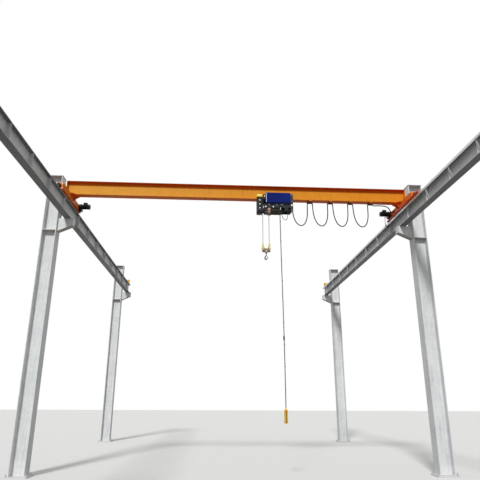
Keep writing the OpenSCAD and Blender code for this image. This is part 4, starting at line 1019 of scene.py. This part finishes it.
# %% Pieces of two colours
def recoloured(name, axis, start, end, below=None, above=None):
    """The base colour becomes below before start, or above beyond end, measured along the axis."""
    f = finishes[name]
    kept = f.shader.inputs["Base Color"].links[0].from_socket
    f.feed("Base Color", f.blend(f.ramp(f.along(axis), start, end), below or kept, above or kept))
    print(name, "changes colour at", axis, start)


recoloured("rope_guide", "X", 0.785, 0.800, above=linear(46, 43, 41))
recoloured("festoon_carrier", "Z", 6.498, 6.503, above=linear(214, 134, 34))
recoloured("collector", "Z", 6.272, 6.278, below=linear(24, 24, 25))

# %% [markdown]
# ## Which piece gets which finish
# The CAD record names a material slot for each node, and each new piece has been given one. Where
# the photograph shows a piece in another tone than the rest of its slot, it is named here.

# %% Each piece takes the finish of its slot
slot_of = {part["node"]: part["material_slot"] for part in frame["record"]["subparts"]}
slot_of |= {node: "festoon_carrier" for node in carriers}
slot_of |= {node: "carriage_orange" for node in ("carriage_left", "carriage_right", "saddle_plates")}
slot_of |= {"girder_stops": "crane_orange", "current_collector": "collector", "rope_guide": "rope_guide",
            "sheave_guards": "guard_yellow"}
piece_finish = {"drum_turns": "greased_rope", "cap_lid": "cap_highlight", "strain_wire": "cable_black"}
piece_finish |= {node + "_nuts": "crane_orange" for node in carriers}
for name, node in frame["nodes"].items():
    node.data.materials.clear()
    node.data.materials.append(finishes[slot_of[name]].material)
dressed = 0
for piece in bpy.context.scene.objects:
    if piece.type == "MESH" and "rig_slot" in piece and not piece.data.materials:
        piece.data.materials.append(finishes[piece_finish.get(piece.name, piece["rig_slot"])].material)
        dressed += 1
print("CAD nodes", len(frame["nodes"]), "new pieces", dressed)

# %% [markdown]
# ## Light, floor and background
# The shadow of the upper flange falls on the web below it, so the main light comes from the
# camera's side, a little from the left and some 38 degrees up. The rest is plain daylight from all
# round. The background is white for the camera, and the floor reflects less towards the steel than
# it shows, so undersides stay dark.

# %% The floor
floor_half, floor_z = 60, -0.002
corners = np.array([[-1, -1, 0], [1, -1, 0], [1, 1, 0], [-1, 1, 0]]) * floor_half + (0, 0, floor_z)
floor_mesh = bpy.data.meshes.new("floor")
floor_mesh.from_pydata(corners.tolist(), [], [[0, 1, 2, 3]])
floor = placed("floor", floor_mesh)
ground = Finish("floor")
ray = ground.tree.nodes.new("ShaderNodeLightPath").outputs["Is Diffuse Ray"]
ground.feed("Base Color", ground.blend(ray, linear(226, 226, 224), linear(120, 120, 118)))
ground.set(Roughness=0.9)
floor_mesh.materials.append(ground.material)
print("floor", 2 * floor_half, "m wide")

# %% Daylight from all round
world = bpy.data.worlds.new("daylight")
bpy.context.scene.world = world
world.use_nodes = True
nodes, links = world.node_tree.nodes, world.node_tree.links
rays = nodes.new("ShaderNodeLightPath")
seen = rays.outputs["Is Camera Ray"]
for kind in ("Is Glossy Ray", "Is Transmission Ray"):
    either = nodes.new("ShaderNodeMath")
    either.operation = "MAXIMUM"
    links.new(seen, either.inputs[0])
    links.new(rays.outputs[kind], either.inputs[1])
    seen = either.outputs[0]
level = nodes.new("ShaderNodeMapRange")
level.inputs["To Min"].default_value = 0.50
level.inputs["To Max"].default_value = 1.0
links.new(seen, level.inputs["Value"])
links.new(level.outputs["Result"], nodes["Background"].inputs["Strength"])
nodes["Background"].inputs["Color"].default_value = (1, 1, 1, 1)
print("world", world.name)

# %% The sun
sun_data = bpy.data.lights.new("key", "SUN")
sun_data.energy = 2.4
sun_data.angle = math.radians(9)
sun = placed("key", sun_data)
sun.rotation_euler = Vector((0.22, 0.76, -0.61)).to_track_quat("-Z", "Y").to_euler()
bpy.context.scene.view_settings.view_transform = "Standard"
print("sun strength", sun_data.energy)
